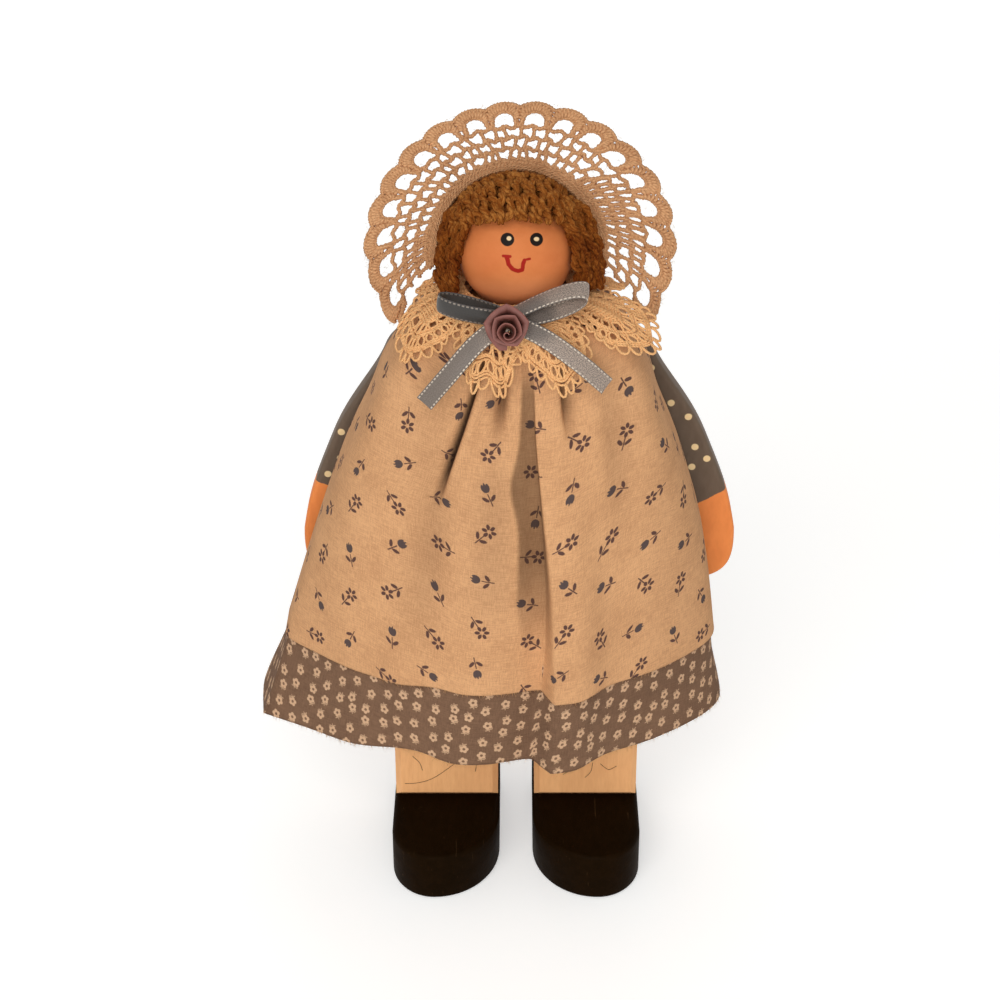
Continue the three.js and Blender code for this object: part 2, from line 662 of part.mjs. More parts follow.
// One loop leaves the knot, swells and comes back to it
function bowLoop(side, rise) {
  const path = [];
  for (let step = 0; step <= 12; step += 1) {
    const turn = Math.PI * ((2 * step) / 12 - 1);
    const out = (BOW_LOOP_REACH * (1 + Math.cos(turn))) / 2;
    const spread = RIBBON * (turn / Math.PI);
    const swell = spread + BOW_LOOP_SWELL * Math.sin(turn) * Math.sqrt(out / BOW_LOOP_REACH);
    path.push(new THREE.Vector3(side * out, swell + BOW_LOOP_BACK * out, rise * out));
  }
  return ribbonStrip(path, RIBBON_WIDTH, new THREE.Vector3(side * -rise, BOW_LOOP_LEAN, 1).normalize());
}

function bowTail(places) {
  const points = places.map((place) => new THREE.Vector3(...place));
  const path = new THREE.CatmullRomCurve3(points).getPoints(8);
  const run = points.at(-1).clone().sub(points[0]);
  const across = new THREE.Vector3(-run.z, 0, run.x).normalize();
  return ribbonStrip(path, RIBBON_WIDTH, across);
}

function ribbonBow() {
  const knot = new THREE.SphereGeometry(1, 8, 6);
  knot.scale(BOW_KNOT_WIDTH / 2, BOW_KNOT_DEPTH / 2, RIBBON_WIDTH / 2);
  const loops = [bowLoop(-1, BOW_LEFT_RISE), bowLoop(1, BOW_RIGHT_RISE)];
  return join(knot, ...loops, bowTail(BOW_LEFT_TAIL), bowTail(BOW_RIGHT_TAIL));
}

// A ribbon rolled into a spiral round the -Y axis, its outer turns opening forward
function ribbonRose() {
  const steps = 44;
  const points = [];
  for (let step = 0; step <= steps; step += 1) {
    const along = step / steps;
    const turn = 2 * Math.PI * ROSE_TURNS * along;
    const radius = ROSE_INNER + (ROSE_OUTER - ROSE_INNER) * along;
    for (let row = 0; row <= 2; row += 1) {
      const up = row / 2;
      const open = radius * (1 - ROSE_CUP + ROSE_CUP * up * up);
      const height = ROSE_DEPTH * up * (1 - ROSE_FALL * along);
      points.push(new THREE.Vector3(open * Math.cos(turn), -height, open * Math.sin(turn)));
    }
  }
  return thicken(points, gridTriangles(steps + 1, 3, false), RIBBON);
}

// Head of hair and hat, drawn about the middle of the ball: -Y is the face, +Z the top of the head

function onSphere(radius, turn, rise) {
  const level = radius * Math.cos(rise);
  return new THREE.Vector3(level * Math.sin(turn), -level * Math.cos(turn), radius * Math.sin(rise));
}

// A lock of yarn over part of the ball: turn runs round from the face, rise up from the level of its middle
function hairLock(turns, rises, strands, fullness = 0) {
  const columns = strands * 2 + 1;
  const rows = 6;
  const outer = [];
  const inner = [];
  for (let row = 0; row < rows; row += 1) {
    const down = row / (rows - 1);
    for (let column = 0; column < columns; column += 1) {
      const across = column / (columns - 1);
      const turn = radians(THREE.MathUtils.lerp(turns[0], turns[1], across));
      const rise = radians(THREE.MathUtils.lerp(rises[1], rises[0], down));
      const strand = HAIR_STRAND * (column % 2 === 0 ? -1 : 1);
      const end = HAIR_STRAND * Math.sin(Math.PI * down) - HAIR_STRAND;
      const full = fullness * Math.sin(Math.PI * across) * Math.sin(Math.PI * down);
      outer.push(onSphere(HAIR_OUTER + strand + end + full, turn, rise));
      inner.push(onSphere(HEAD_RADIUS + 2 * FIT, turn, rise));
    }
  }
  return shell(outer, inner, gridTriangles(rows, columns, false));
}

// Place on the hat: across runs 0 to 1 round the brim from its right end over the top to its left end,
// out runs from the crown's rim to the outer edge; the two ends curl back behind the collar
function brimPoint(across, out) {
  const share = out / HAT_BRIM;
  const span = THREE.MathUtils.lerp(HAT_INNER_SPAN, HAT_OUTER_SPAN, share);
  const turn = radians(90 + span * (across - 0.5));
  const radius = HAT_RADIUS + out;
  const x = radius * Math.cos(turn) + HAT_SHIFT * share;
  const z = radius * Math.sin(turn) - HAT_DIP * share;
  const end = smooth(radians(HAT_CURL_FROM), radians(HAT_OUTER_SPAN / 2), Math.abs(turn - Math.PI / 2));
  const y = HAT_BACK + HAT_CURL * end * share + HAT_WAVE * share * Math.cos(HAT_WAVES * turn);
  return new THREE.Vector3(x, y, z);
}

function crownPoint(across, back) {
  const turn = radians(90 + HAT_INNER_SPAN * (across - 0.5));
  const lift = (back * Math.PI) / 2;
  const radius = HAT_RADIUS * Math.cos(lift);
  const depth = HAT_BACK + HAT_CROWN_DEPTH * Math.sin(lift);
  return new THREE.Vector3(radius * Math.cos(turn), depth, radius * Math.sin(turn));
}

// One crochet sheet: the crown, a close band at its rim, rows of staggered net cells, each with a hole, and
// arched scallops along the edge with one large hole each
function crochetHat() {
  const points = [];
  const triangles = [];
  const add = (point) => points.push(point) - 1;
  const cells = HAT_SCALLOPS * 2;
  const quad = (a, b, c, d) => triangles.push([a, b, c], [a, c, d]);
  const ringOf = (make) => Array.from({ length: cells + 1 }, (_, i) => add(make(i / cells)));

  // A frame of facets between an outer outline and a hole drawn in towards the cell's middle
  const holed = (outline, shrink) => {
    const middle = new THREE.Vector3();
    outline.forEach((i) => middle.addScaledVector(points[i], 1 / outline.length));
    const hole = outline.map((i) => add(points[i].clone().lerp(middle, shrink)));
    outline.forEach((corner, i) => {
      const next = (i + 1) % outline.length;
      quad(corner, outline[next], hole[next], hole[i]);
    });
  };

  const crownSteps = 3;
  const rim = ringOf((across) => crownPoint(across, 0));
  let ring = rim;
  for (let step = 1; step <= crownSteps; step += 1) {
    const next = ringOf((across) => crownPoint(across, (HAT_POLE * step) / crownSteps));
    for (let i = 0; i < cells; i += 1) {
      quad(ring[i], ring[i + 1], next[i + 1], next[i]);
    }
    ring = next;
  }
  const pole = add(crownPoint(0.5, 1));
  for (let i = 0; i < cells; i += 1) {
    triangles.push([ring[i], ring[i + 1], pole]);
  }

  const netDepth = HAT_BRIM - HAT_BAND - HAT_SCALLOP_BAND;
  ring = ringOf((across) => brimPoint(across, HAT_BAND));
  for (let i = 0; i < cells; i += 1) {
    quad(ring[i], ring[i + 1], rim[i + 1], rim[i]);
  }
  for (let row = 1; row <= HAT_NET_ROWS; row += 1) {
    const out = HAT_BAND + (netDepth * row) / HAT_NET_ROWS;
    const slant = row % 2 === 0 ? 0 : 0.25 / cells;
    const next = ringOf((across) => brimPoint(across + slant * Math.sin(Math.PI * across), out));
    for (let i = 0; i < cells; i += 1) {
      holed([next[i], next[i + 1], ring[i + 1], ring[i]], HAT_NET_HOLE);
    }
    ring = next;
  }
  const archSteps = 4;
  let foot = add(brimPoint(0, HAT_BRIM - HAT_SCALLOP_HEIGHT));
  for (let scallop = 0; scallop < HAT_SCALLOPS; scallop += 1) {
    const arch = [foot];
    for (let step = 1; step <= archSteps; step += 1) {
      const across = (scallop + step / archSteps) / HAT_SCALLOPS;
      const crest = HAT_SCALLOP_HEIGHT * Math.sin((Math.PI * step) / archSteps);
      arch.push(add(brimPoint(across, HAT_BRIM - HAT_SCALLOP_HEIGHT + crest)));
    }
    foot = arch.at(-1);
    const base = ring.slice(scallop * 2, scallop * 2 + 3).reverse();
    holed([...arch, ...base], HAT_SCALLOP_HOLE);
  }
  return thicken(points, triangles, CROCHET);
}

// Assembly

const COLOURS = {
  cream: { color: 0xe0ab77, roughness: 0.6 },
  black: { color: 0x1b0f04, roughness: 0.35 },
  skin: { color: 0xd2794a, roughness: 0.5 },
  sleeve: { color: 0x625142, roughness: 0.55 },
  bareWood: { color: 0xc99f6b, roughness: 0.7 },
  slate: { color: 0x75604c, roughness: 0.95 },
  muslin: { color: 0xd6a277, roughness: 0.95 },
  lace: { color: 0xdda56c, roughness: 0.95 },
  ribbon: { color: 0x5b5148, roughness: 0.4 },
  rose: { color: 0x633e37, roughness: 0.5 },
  yarn: { color: 0x824c21, roughness: 1 },
  crochet: { color: 0xb68c66, roughness: 1 },
  steel: { color: 0xa8a49c, roughness: 0.4, metalness: 1 },
};

function piece(name, geometry, colour) {
  const mesh = new THREE.Mesh(geometry, new THREE.MeshStandardMaterial(COLOURS[colour]));
  mesh.name = name;
  return mesh;
}

const doll = new THREE.Group();

doll.add(piece('body_block', bodyBlock(), 'cream'));
const dowel = piece('neck_dowel', neckDowel(), 'bareWood');
dowel.position.z = TORSO_TOP;
doll.add(dowel);
const ball = piece('head_ball', headBall(), 'skin');
ball.position.z = HEAD_Z;
doll.add(ball);

for (const [label, side] of [['left', -1], ['right', 1]]) {
  doll.add(piece(`${label}_shoe`, shoe(side), 'black'));
  shoeScrewPlaces(side).forEach((place, i) => {
    const screw = piece(`${label}_shoe_screw_${['front', 'rear'][i]}`, shoeScrew(), 'steel');
    screw.position.set(place.x, place.y, SHOE_SCREW_RECESS);
    doll.add(screw);
  });
  const limb = piece(`${label}_arm`, arm(side), 'sleeve');
  limb.position.set(armPivotX(side), ARM_FRONT + ARM_THICKNESS / 2, ARM_PIVOT_Z);
  limb.rotation.y = -side * radians(ARM_REST_ANGLE);
  doll.add(limb);
  const ring = piece(`${label}_arm_washer`, washer(), 'steel');
  ring.position.set(armPivotX(side), ARM_BACK + FIT + WASHER_THICKNESS / 2, ARM_PIVOT_Z);
  doll.add(ring);
  const screw = piece(`${label}_arm_screw`, armScrew(), 'steel');
  screw.position.set(armPivotX(side), ARM_SCREW_SEAT, ARM_PIVOT_Z);
  doll.add(screw);
}

doll.add(piece('dress', dress(), 'slate'));
doll.add(piece('apron', apron(), 'muslin'));
doll.add(piece('lace_collar', collar(), 'lace'));

const bow = piece('ribbon_bow', ribbonBow(), 'ribbon');
bow.position.set(BOW_X, BOW_Y, BOW_Z);
doll.add(bow);
const rose = piece('ribbon_rose', ribbonRose(), 'rose');
rose.position.set(BOW_X, BOW_Y - BOW_KNOT_DEPTH / 2 - FIT - RIBBON, BOW_Z);
rose.rotation.x = -radians(ROSE_LEAN);
doll.add(rose);

const head = new THREE.Group();
head.position.z = HEAD_Z;
head.rotation.x = -radians(HEAD_TILT);
const ear = HAIR_BEHIND_EAR - HAIR_PART / 2;
const nape = [HAIR_BEHIND_EAR + HAIR_PART / 2, 360 - HAIR_BEHIND_EAR - HAIR_PART / 2];
const sideRises = [HAIR_SIDE_LOW, HAIR_FRINGE_LOW - HAIR_PART];
head.add(piece('hair_fringe', hairLock([-ear, ear], [HAIR_FRINGE_LOW, HAIR_CROWN], 11), 'yarn'));
head.add(piece('hair_left', hairLock([-ear, -HAIR_LEFT_FROM], sideRises, 4, HAIR_SIDE_FULLNESS), 'yarn'));
head.add(piece('hair_right', hairLock([HAIR_RIGHT_FROM, ear], sideRises, 4, HAIR_SIDE_FULLNESS), 'yarn'));
head.add(piece('hair_back', hairLock(nape, [HAIR_NAPE, HAIR_CROWN], 7), 'yarn'));
head.add(piece('crochet_hat', crochetHat(), 'crochet'));
doll.add(head);

// The origin lies on the floor, under the middle of the doll's box
const box = new THREE.Box3().setFromObject(doll, true);
const middle = box.getCenter(new THREE.Vector3());
doll.position.set(-middle.x, -middle.y, -box.min.z);

export default doll;
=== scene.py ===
"""Looks of a dressed wooden doll: painted wood, printed cotton, lace, ribbon, yarn and crochet.

Shapes are numpy surfaces and threads, in millimetres about the middle of the body block, with the face
along -Y. piece() carries them into the frame, in metres. Left and right are as seen from the front.
"""

import json

import bpy
import numpy as np
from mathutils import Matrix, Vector


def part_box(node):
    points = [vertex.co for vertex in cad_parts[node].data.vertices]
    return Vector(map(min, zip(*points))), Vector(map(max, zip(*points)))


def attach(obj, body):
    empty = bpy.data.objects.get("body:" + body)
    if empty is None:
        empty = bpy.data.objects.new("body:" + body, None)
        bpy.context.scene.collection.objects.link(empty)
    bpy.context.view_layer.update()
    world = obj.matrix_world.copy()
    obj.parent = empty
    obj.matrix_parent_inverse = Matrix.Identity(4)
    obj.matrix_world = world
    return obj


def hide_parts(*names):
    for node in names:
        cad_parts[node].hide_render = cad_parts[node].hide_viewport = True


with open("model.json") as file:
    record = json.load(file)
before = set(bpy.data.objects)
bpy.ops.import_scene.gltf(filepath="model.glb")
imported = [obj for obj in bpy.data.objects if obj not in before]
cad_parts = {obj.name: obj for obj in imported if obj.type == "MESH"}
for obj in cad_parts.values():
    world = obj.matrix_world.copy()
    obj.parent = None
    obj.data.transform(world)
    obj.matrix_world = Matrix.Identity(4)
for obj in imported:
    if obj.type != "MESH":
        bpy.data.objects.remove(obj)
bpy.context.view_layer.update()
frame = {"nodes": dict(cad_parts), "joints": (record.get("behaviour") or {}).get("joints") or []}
chance = np.random.default_rng(1911)

# Metres in a millimetre, then in millimetres the clearance between pieces and how far the edge of paint or
# print blurs, the way that the face looks, and the sign of x on each side

MM = 0.001
FIT = 0.3
SOFT_EDGE = 0.12
AHEAD = np.array([0.0, -1.0, 0.0])
SIDES = {"left": -1, "right": 1}


def corners_mm(node):
    """Lowest and highest corner of a CAD node, in millimetres."""
    return [np.array(corner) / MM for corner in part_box(node)]


# Sizes taken from the frame

body_low, body_high = corners_mm("body_block")
ball_low, ball_high = corners_mm("head_ball")
shoe_low, shoe_high = corners_mm("left_shoe")
arm_low, arm_high = corners_mm("left_arm")
MIDDLE = np.array([*(body_low + body_high)[:2] / 2, 0.0])
TORSO_TOP = body_high[2]
BOARD_HALF_WIDTH, BOARD_HALF_DEPTH = ((body_high - body_low) / 2)[:2]
HEAD_RADIUS = (ball_high[0] - ball_low[0]) / 2
HEAD_Z = TORSO_TOP + FIT + HEAD_RADIUS
SHOE_THICKNESS = shoe_high[2]
SHOE_HALF_WIDTH = (shoe_high[0] - shoe_low[0]) / 2
LEG_CENTRE = MIDDLE[0] - (shoe_high[0] + shoe_low[0]) / 2
TOE_Y, HEEL_Y = shoe_low[1] - MIDDLE[1], shoe_high[1] - MIDDLE[1]
ARM_FRONT, ARM_BACK = arm_low[1] - MIDDLE[1], arm_high[1] - MIDDLE[1]
ARM_PIVOTS = {j["child"]: np.array(j["pos_m"]) / MM - MIDDLE for j in frame["joints"]}

# Sizes of the photographed view, its lamps and its floor: pixels of a square picture, angles and millimetres

PICTURE = 1000
FOCAL_PIXELS = 2130.2
MIDDLE_PIXEL = 516
CAMERA_RISE = np.radians(30)
CAMERA_DISTANCE = 750
AIM_HEIGHT = 135.5
SENSOR_WIDTH = 36
LAMP_SIZE = 900
LAMP_AIM_HEIGHT = 120
FLOOR_CORNERS = 96
FLOOR_RADIUS = 6000

# Wooden pieces

EDGE_EASE = 1.6
EDGE_STEPS = 5
CURVE_STEPS = 16
SHOE_HEEL_CORNER = 7
SHOE_TIP_SHIFT = 4
SHOE_TOE_LONG = 27
SHOE_TOE_SHORT = 18
BALL_RINGS = 90
BALL_COLUMNS = 128
POLE_GAP = 0.01

# Head, hair and hat: a lock is its near and its far curve beside the face, about the middle of the upright
# head, and the hat's rows are millimetres out from the crown's rim

HEAD_TILT = np.radians(23)
HAIR_OUTER = HEAD_RADIUS + FIT + 5.6
HAIR_SWELL = 0.8
HAIR_HALF_WIDTH = 23.5
HAIR_LEAST_RADIUS = 6
HAIR_STEPS = 60
PLY_REACH = 0.64
PLY_PITCH = 5.8
PLY_RADIUS = 0.88
FRINGE_FOOT = 8.2
FRINGE_RADIUS = 23
LEFT_LOCK = (
    [(-11, -12, 18), (-15.5, -13, 9.5), (-19, -10, 0), (-20.5, -7.5, -8), (-19.8, -7, -14)],
    [(-16, -1, 17), (-21.5, -2, 11), (-24.5, -2, 2), (-25.5, -2, -7), (-24, -3, -12.5)],
)
RIGHT_LOCK = (
    [(9, -14, 17.5), (15.2, -13, 10.5), (19, -9.5, 0), (20.3, -7.5, -8), (19.6, -7, -14)],
    [(17, -1, 17), (23, -2, 12), (27.5, -2, 2), (28.3, -2, -7), (27, -3, -12.5)],
)
HAT_HALF_THREAD = 0.6
HAT_RADIUS = HAIR_OUTER + HAIR_SWELL + FIT + HAT_HALF_THREAD
HAT_BACK = 7
HAT_CROWN_DEPTH = HAT_RADIUS - HAT_BACK + 0.9
HAT_BRIM = 23.5
HAT_SHIFT = 1.5
HAT_DIP = 1.5
HAT_SCALLOPS = 18
SCALLOP_WIDTH = 10
SCALLOP_FOOT = 16.1
HOLE_HALF_WIDTH = 4.1
HOLE_HEIGHT = 4.2
HAT_RIDGES = (0.2, 1.1, 2.0, 2.9)
HAT_NET_ROWS = (3.2, 7.1, 11.0, 14.9)
HAT_EDGE_FROM = 20
POST_STEPS = 9
HAT_FIBRES = 2600
HAT_INNER_SPAN = np.radians(196)
HAT_OUTER_SPAN = np.radians(241)
HAT_CURL = 12
HAT_CURL_FROM = np.radians(65)

# Arms: a dot is (out from the arm's middle line, down from its screw), and a cuff line is (down, slope)

ARM_LENGTH = 94.7
ARM_REST = np.radians(22)
ARM_SHOULDER = 13
ARM_SLEEVE_OUT = 18.4
ARM_SLEEVE_IN = 9.5
ARM_HAND_OUT = 15.4
ARM_HAND_IN = 12
ARM_CUFF_AT = 66
ARM_HAND_AT = 79
DOT_RADIUS = 1.3
SLEEVE_EDGE = 0.15
ARM_DOTS = {
    "left": [(10, 8), (11.5, 23), (16.4, 35.7), (13.1, 45.8), (15.1, 53.7), (3, 30), (-2, 44), (4, 52)],
    "right": [
        (9.9, 5.5), (11.7, 21.2), (15.5, 28.7), (13.6, 41.1), (15.9, 47.2),
        (9.8, 48.4), (1, 18), (2, 36), (-4, 52),
    ],
}
CUFF_LINES = {"left": (57.5, -0.04), "right": (64.5, 0.15)}

# Dress and apron: one row for each height below the top of the body block, with how far the side and the
# front stand off the board, squareness of the ring on the left and on the right, how far it leans to the
# left, and how far its left side swings forward. Each leg thread is a row of (x, z) on the front of the legs

SHOULDER_HEIGHT = 48
NECK_HALF_WIDTH = 16
DRESS_NECK_RADIUS = 14.8
DRESS_ROWS = np.array([
    (-3.6, -1.2, -4.2, 2, 2, 0, 0),
    (-1.4, 6, 3, 5, 5, 0, 0),
    (5.3, 5, 4, 5, 5, 0, 0),
    (11.3, 3.2, 4.8, 5, 5, -0.2, 0),
    (21.3, 3.7, 6, 5, 5, 0.1, 0),
    (36.3, 5, 8, 4.5, 4.5, 0.8, 0),
    (60, 13.6, 12, 2.5, 2.5, 1.5, 0),
    (92, 23.4, 17.5, 1.9, 2, 2.6, 1),
    (129, 31.8, 21.5, 1.3, 1.85, 5.8, 5),
    (144, 35.3, 22.2, 1.15, 1.83, 7.6, 8.5),
    (159, 39.5, 22.5, 1.05, 1.83, 9.3, 12),
])
HEM_ROW = len(DRESS_ROWS) - 1
HEM_DROP = DRESS_ROWS[HEM_ROW, 0]
HEM_POINTS = 361
APRON_LAST_ROW = 8
APRON_DROP = DRESS_ROWS[APRON_LAST_ROW, 0]
APRON_HALF_TURN = np.radians(105)
APRON_LIFT = 1.4
FLARE_DROP = 134.1
DRESS_BACK = BOARD_HALF_DEPTH + FIT + 1.5
DRESS_COLUMNS = 301
DRESS_STEPS = 150
APRON_COLUMNS = 281
APRON_STEPS = 160
CLOTH_THICKNESS = 0.4
WEAVE_PITCH = 0.42
WEAVE_RELIEF = 0.14
TULIP_REPEAT = 16.4
CALICO_REPEAT = 6.3
LEG_THREAD_STEPS = 24
LEG_THREAD_RADIUS = 0.09
LEG_THREADS = [
    [(-41.1, 25.4), (-36, 25.8), (-31, 27.7), (-26, 31.5), (-20.6, 36.5)],
    [(-38, 38), (-35.5, 35), (-34.5, 31.5)],
    [(-15, 31), (-14.2, 35), (-12.5, 38)],
    [(13.6, 31), (15, 33.4), (15.4, 37)],
    [(17.3, 29.6), (20, 31.6), (21.5, 35.5)],
    [(25.5, 28.2), (27.6, 31), (28.2, 35)],
    [(31, 34.5), (33.2, 32.4), (34.6, 31.9), (37, 33.5)],
]

# Collar, bow and rose

COLLAR_NECK_RADIUS = 17
COLLAR_NECK_RISE = 6.7
COLLAR_REACH = {"side": 44.5, "front": 34.5, "back": 27}
COLLAR_DROP = {"left": 8.3, "right": 5, "front": 20.5, "back": 16, "corner": 4.5}
COLLAR_SHIFT = 4
LACE_FANS = 8
LACE_WIDTH = 25
LACE_SPREAD = 30
LACE_CROWDING = 0.17
LACE_CENTRE = 10.8
LACE_HALF_ANGLE = 2.15
LACE_THREAD = 0.43
BOW = np.array([-2.5, 6.6 - COLLAR_REACH["front"], TORSO_TOP + COLLAR_NECK_RISE + 1])
RIBBON_WIDTH = 6.35
RIBBON_THICKNESS = 0.35
RIBBON_HOLLOW = 0.3
RIBBON_COLUMNS = 13
LOOP_STEPS = 17
ROSE_TURNS = 3.6
ROSE_SIDES = 4.6
ROSE_LEAN = np.radians(20)


# Numbers and arrays


def unit(vectors):
    """Vectors scaled to a length of one."""
    return vectors / np.maximum(np.linalg.norm(vectors, axis=-1, keepdims=True), 1e-9)


def smooth(low, high, value):
    """Smooth step: 3t^2 - 2t^3, with t the place between low and high."""
    t = np.clip((value - low) / (high - low), 0, 1)
    return t * t * (3 - 2 * t)


def bump(value, middle, width):
    """Bell curve: exp(-((value - middle) / width)^2)."""
    return np.exp(-(((value - middle) / width) ** 2))


def through(knots, values, at):
    """Curve through points: cubic Hermite pieces whose slopes are central differences."""
    knots = np.asarray(knots, float)
    values = np.asarray(values, float)
    slopes = np.gradient(values, knots, axis=0)
    i = np.clip(np.searchsorted(knots, at) - 1, 0, len(knots) - 2)
    span = knots[i + 1] - knots[i]
    t = (at - knots[i]) / span
    if values.ndim > 1:
        span, t = span[..., None], t[..., None]
    start = (2 * t**3 - 3 * t**2 + 1) * values[i] + (t**3 - 2 * t**2 + t) * span * slopes[i]
    return start + (3 * t**2 - 2 * t**3) * values[i + 1] + (t**3 - t**2) * span * slopes[i + 1]


def lengths(points, axis):
    """Running length along an axis of a grid of points, starting at zero."""
    steps = np.linalg.norm(np.diff(points, axis=axis), axis=-1)
    return np.insert(np.cumsum(steps, axis=axis), 0, 0, axis=axis)


def tilted(points):
    """Points of the head, drawn upright about the ball's middle, turned back by the head's tilt and put
    in place: y cos t + z sin t and z cos t - y sin t."""
    x, y, z = np.moveaxis(points, -1, 0)
    c, s = np.cos(HEAD_TILT), np.sin(HEAD_TILT)
    return np.stack([x, y * c + z * s, HEAD_Z + z * c - y * s], -1)


# Surfaces and threads: each is (points, corners of faces, texture place of each corner)


def grid(points, uv, wrap=False):
    """Quads over rows and columns of points. A face looks along (down the rows) x (along the columns)."""
    rows, columns = points.shape[:2]
    row, column = np.mgrid[0 : rows - 1, 0 : columns if wrap else columns - 1]

    def corners(width, across):
        near, far = row * width, (row + 1) * width
        return np.stack([near + column, far + column, far + across, near + across], -1).reshape(-1, 4)

    faces = corners(columns, (column + 1) % columns)
    return points.reshape(-1, 3), faces, uv.reshape(-1, 2)[corners(uv.shape[1], column + 1)]


def thread_frame(paths, towards):
    """Unit vectors along each path, to its side, and as near to towards as lies square to the path."""
    along = unit(np.gradient(paths, axis=1))
    towards = np.broadcast_to(np.asarray(towards, float), paths.shape)
    lift = unit(towards - along * np.sum(towards * along, axis=2, keepdims=True))
    return along, np.cross(along, lift), lift


def tubes(paths, radius, sides, towards):
    """Closed threads along many paths at once: path + radius (cos a side + sin a lift).
    paths is (threads, steps, 3); radius is a number or an array over threads and steps."""
    count, steps = paths.shape[:2]
    _, side, lift = thread_frame(paths, towards)
    angle = 2 * np.pi * np.arange(sides) / sides
    circle = side[:, :, None] * np.cos(angle)[:, None] + lift[:, :, None] * np.sin(angle)[:, None]
    size = np.broadcast_to(radius, (count, steps))[:, :, None, None]
    points = paths[:, :, None] + size * circle
    step, spoke = (a.ravel() for a in np.mgrid[0 : steps - 1, 0:sides])
    across = (spoke + 1) % sides
    wall = np.stack([step * sides + spoke, (step + 1) * sides + spoke], -1)
    wall = np.concatenate([wall, np.stack([(step + 1) * sides + across, step * sides + across], -1)], 1)
    cap = np.array([[0, i + 1, i + 2, i + 3] for i in range(0, sides - 2, 2)])
    one = np.concatenate([wall, cap, cap[:, ::-1] + (steps - 1) * sides])
    faces = (one + (np.arange(count) * steps * sides)[:, None, None]).reshape(-1, 4)
    run = lengths(paths, 1)[:, one // sides]
    round_it = np.stack([spoke, spoke, spoke + 1, spoke + 1], -1)
    turn = np.concatenate([round_it, one[len(wall) :] % sides]) / sides
    uv = np.stack([run, np.broadcast_to(turn, run.shape)], -1).reshape(-1, 4, 2)
    return points.reshape(-1, 3), faces, uv


def joined(shapes):
    """One shape from several: the faces of each count on from the points before it."""
    points, faces, uv = zip(*shapes)
    starts = np.cumsum([0] + [len(p) for p in points[:-1]])
    faces = [corners + start for corners, start in zip(faces, starts)]
    return np.concatenate(points), np.concatenate(faces), np.concatenate(uv)


def on_head(shapes):
    """One shape from several that are drawn about the upright head."""
    points, faces, uv = joined(shapes)
    return tilted(points), faces, uv


def wound(paths, reach, pitch, strands, towards, phase):
    """Strands twisted round each path: path + reach (cos w side + sin w lift), with
    w = 2 pi length / pitch, plus a phase and each strand's share of a turn."""
    _, side, lift = thread_frame(paths, towards)
    run = lengths(paths, 1)[..., None]
    turns = [2 * np.pi * (run / pitch + i / strands) + phase for i in range(strands)]
    return np.concatenate([paths + reach * (np.cos(w) * side + np.sin(w) * lift) for w in turns])


def fuzz(roots, out, length, spread, radius=0.05):
    """Loose fibres: root + length (aim t + 0.45 curl t^2), with aim near out, and a curl to any side."""
    count = len(roots)
    t = np.linspace(0, 1, 5)[None, :, None]
    aim = unit(out + spread * chance.normal(size=(count, 3)))
    curl = unit(chance.normal(size=(count, 3)))
    size = (length * chance.uniform(0.4, 1, (count, 1)))[:, :, None]
    paths = roots[:, None] + size * (aim[:, None] * t + 0.45 * curl[:, None] * t**2)
    return tubes(paths, radius * (1.15 - t[:, :, 0]), 4, unit(np.cross(aim, curl))[:, None])


def board(outline, thickness):
    """A board cut to a closed outline in its own plane, with edges rounded by a quarter circle. outline is
    (points, 2); the third coordinate goes through the thickness."""
    ease = EDGE_EASE
    tangent = np.roll(outline, -1, 0) - np.roll(outline, 1, 0)
    inward = unit(np.stack([-tangent[:, 1], tangent[:, 0]], -1))
    if np.sum(outline[:, 0] * np.roll(outline[:, 1], -1) - outline[:, 1] * np.roll(outline[:, 0], -1)) < 0:
        inward = -inward
    quarter = np.linspace(0, np.pi / 2, EDGE_STEPS)
    inset = ease * (1 - np.cos(quarter))
    height = thickness / 2 - ease + ease * np.sin(quarter)
    inset = np.concatenate([[ease + 0.5], inset[::-1], inset, [ease + 0.5]])
    height = np.concatenate([[thickness / 2], height[::-1], -height, [-thickness / 2]])
    flat = outline[None] + inset[:, None, None] * inward
    points = np.concatenate([flat, np.broadcast_to(height[:, None, None], (*flat.shape[:2], 1))], -1)
    rows, columns = flat.shape[:2]
    walls = grid(points, np.zeros((rows, columns + 1, 2)), wrap=True)[1]
    caps = [list(range(columns)), list(range(rows * columns - 1, (rows - 1) * columns - 1, -1))]
    return points.reshape(-1, 3), [*walls.tolist(), *caps]


# Materials


def colour(red, green, blue):
    """Linear RGBA of a colour as it shows on a screen, 0 to 255."""
    c = np.array([red, green, blue]) / 255
    linear = np.where(c <= 0.04045, c / 12.92, ((c + 0.055) / 1.055) ** 2.4)
    return (*(float(v) for v in linear), 1.0)


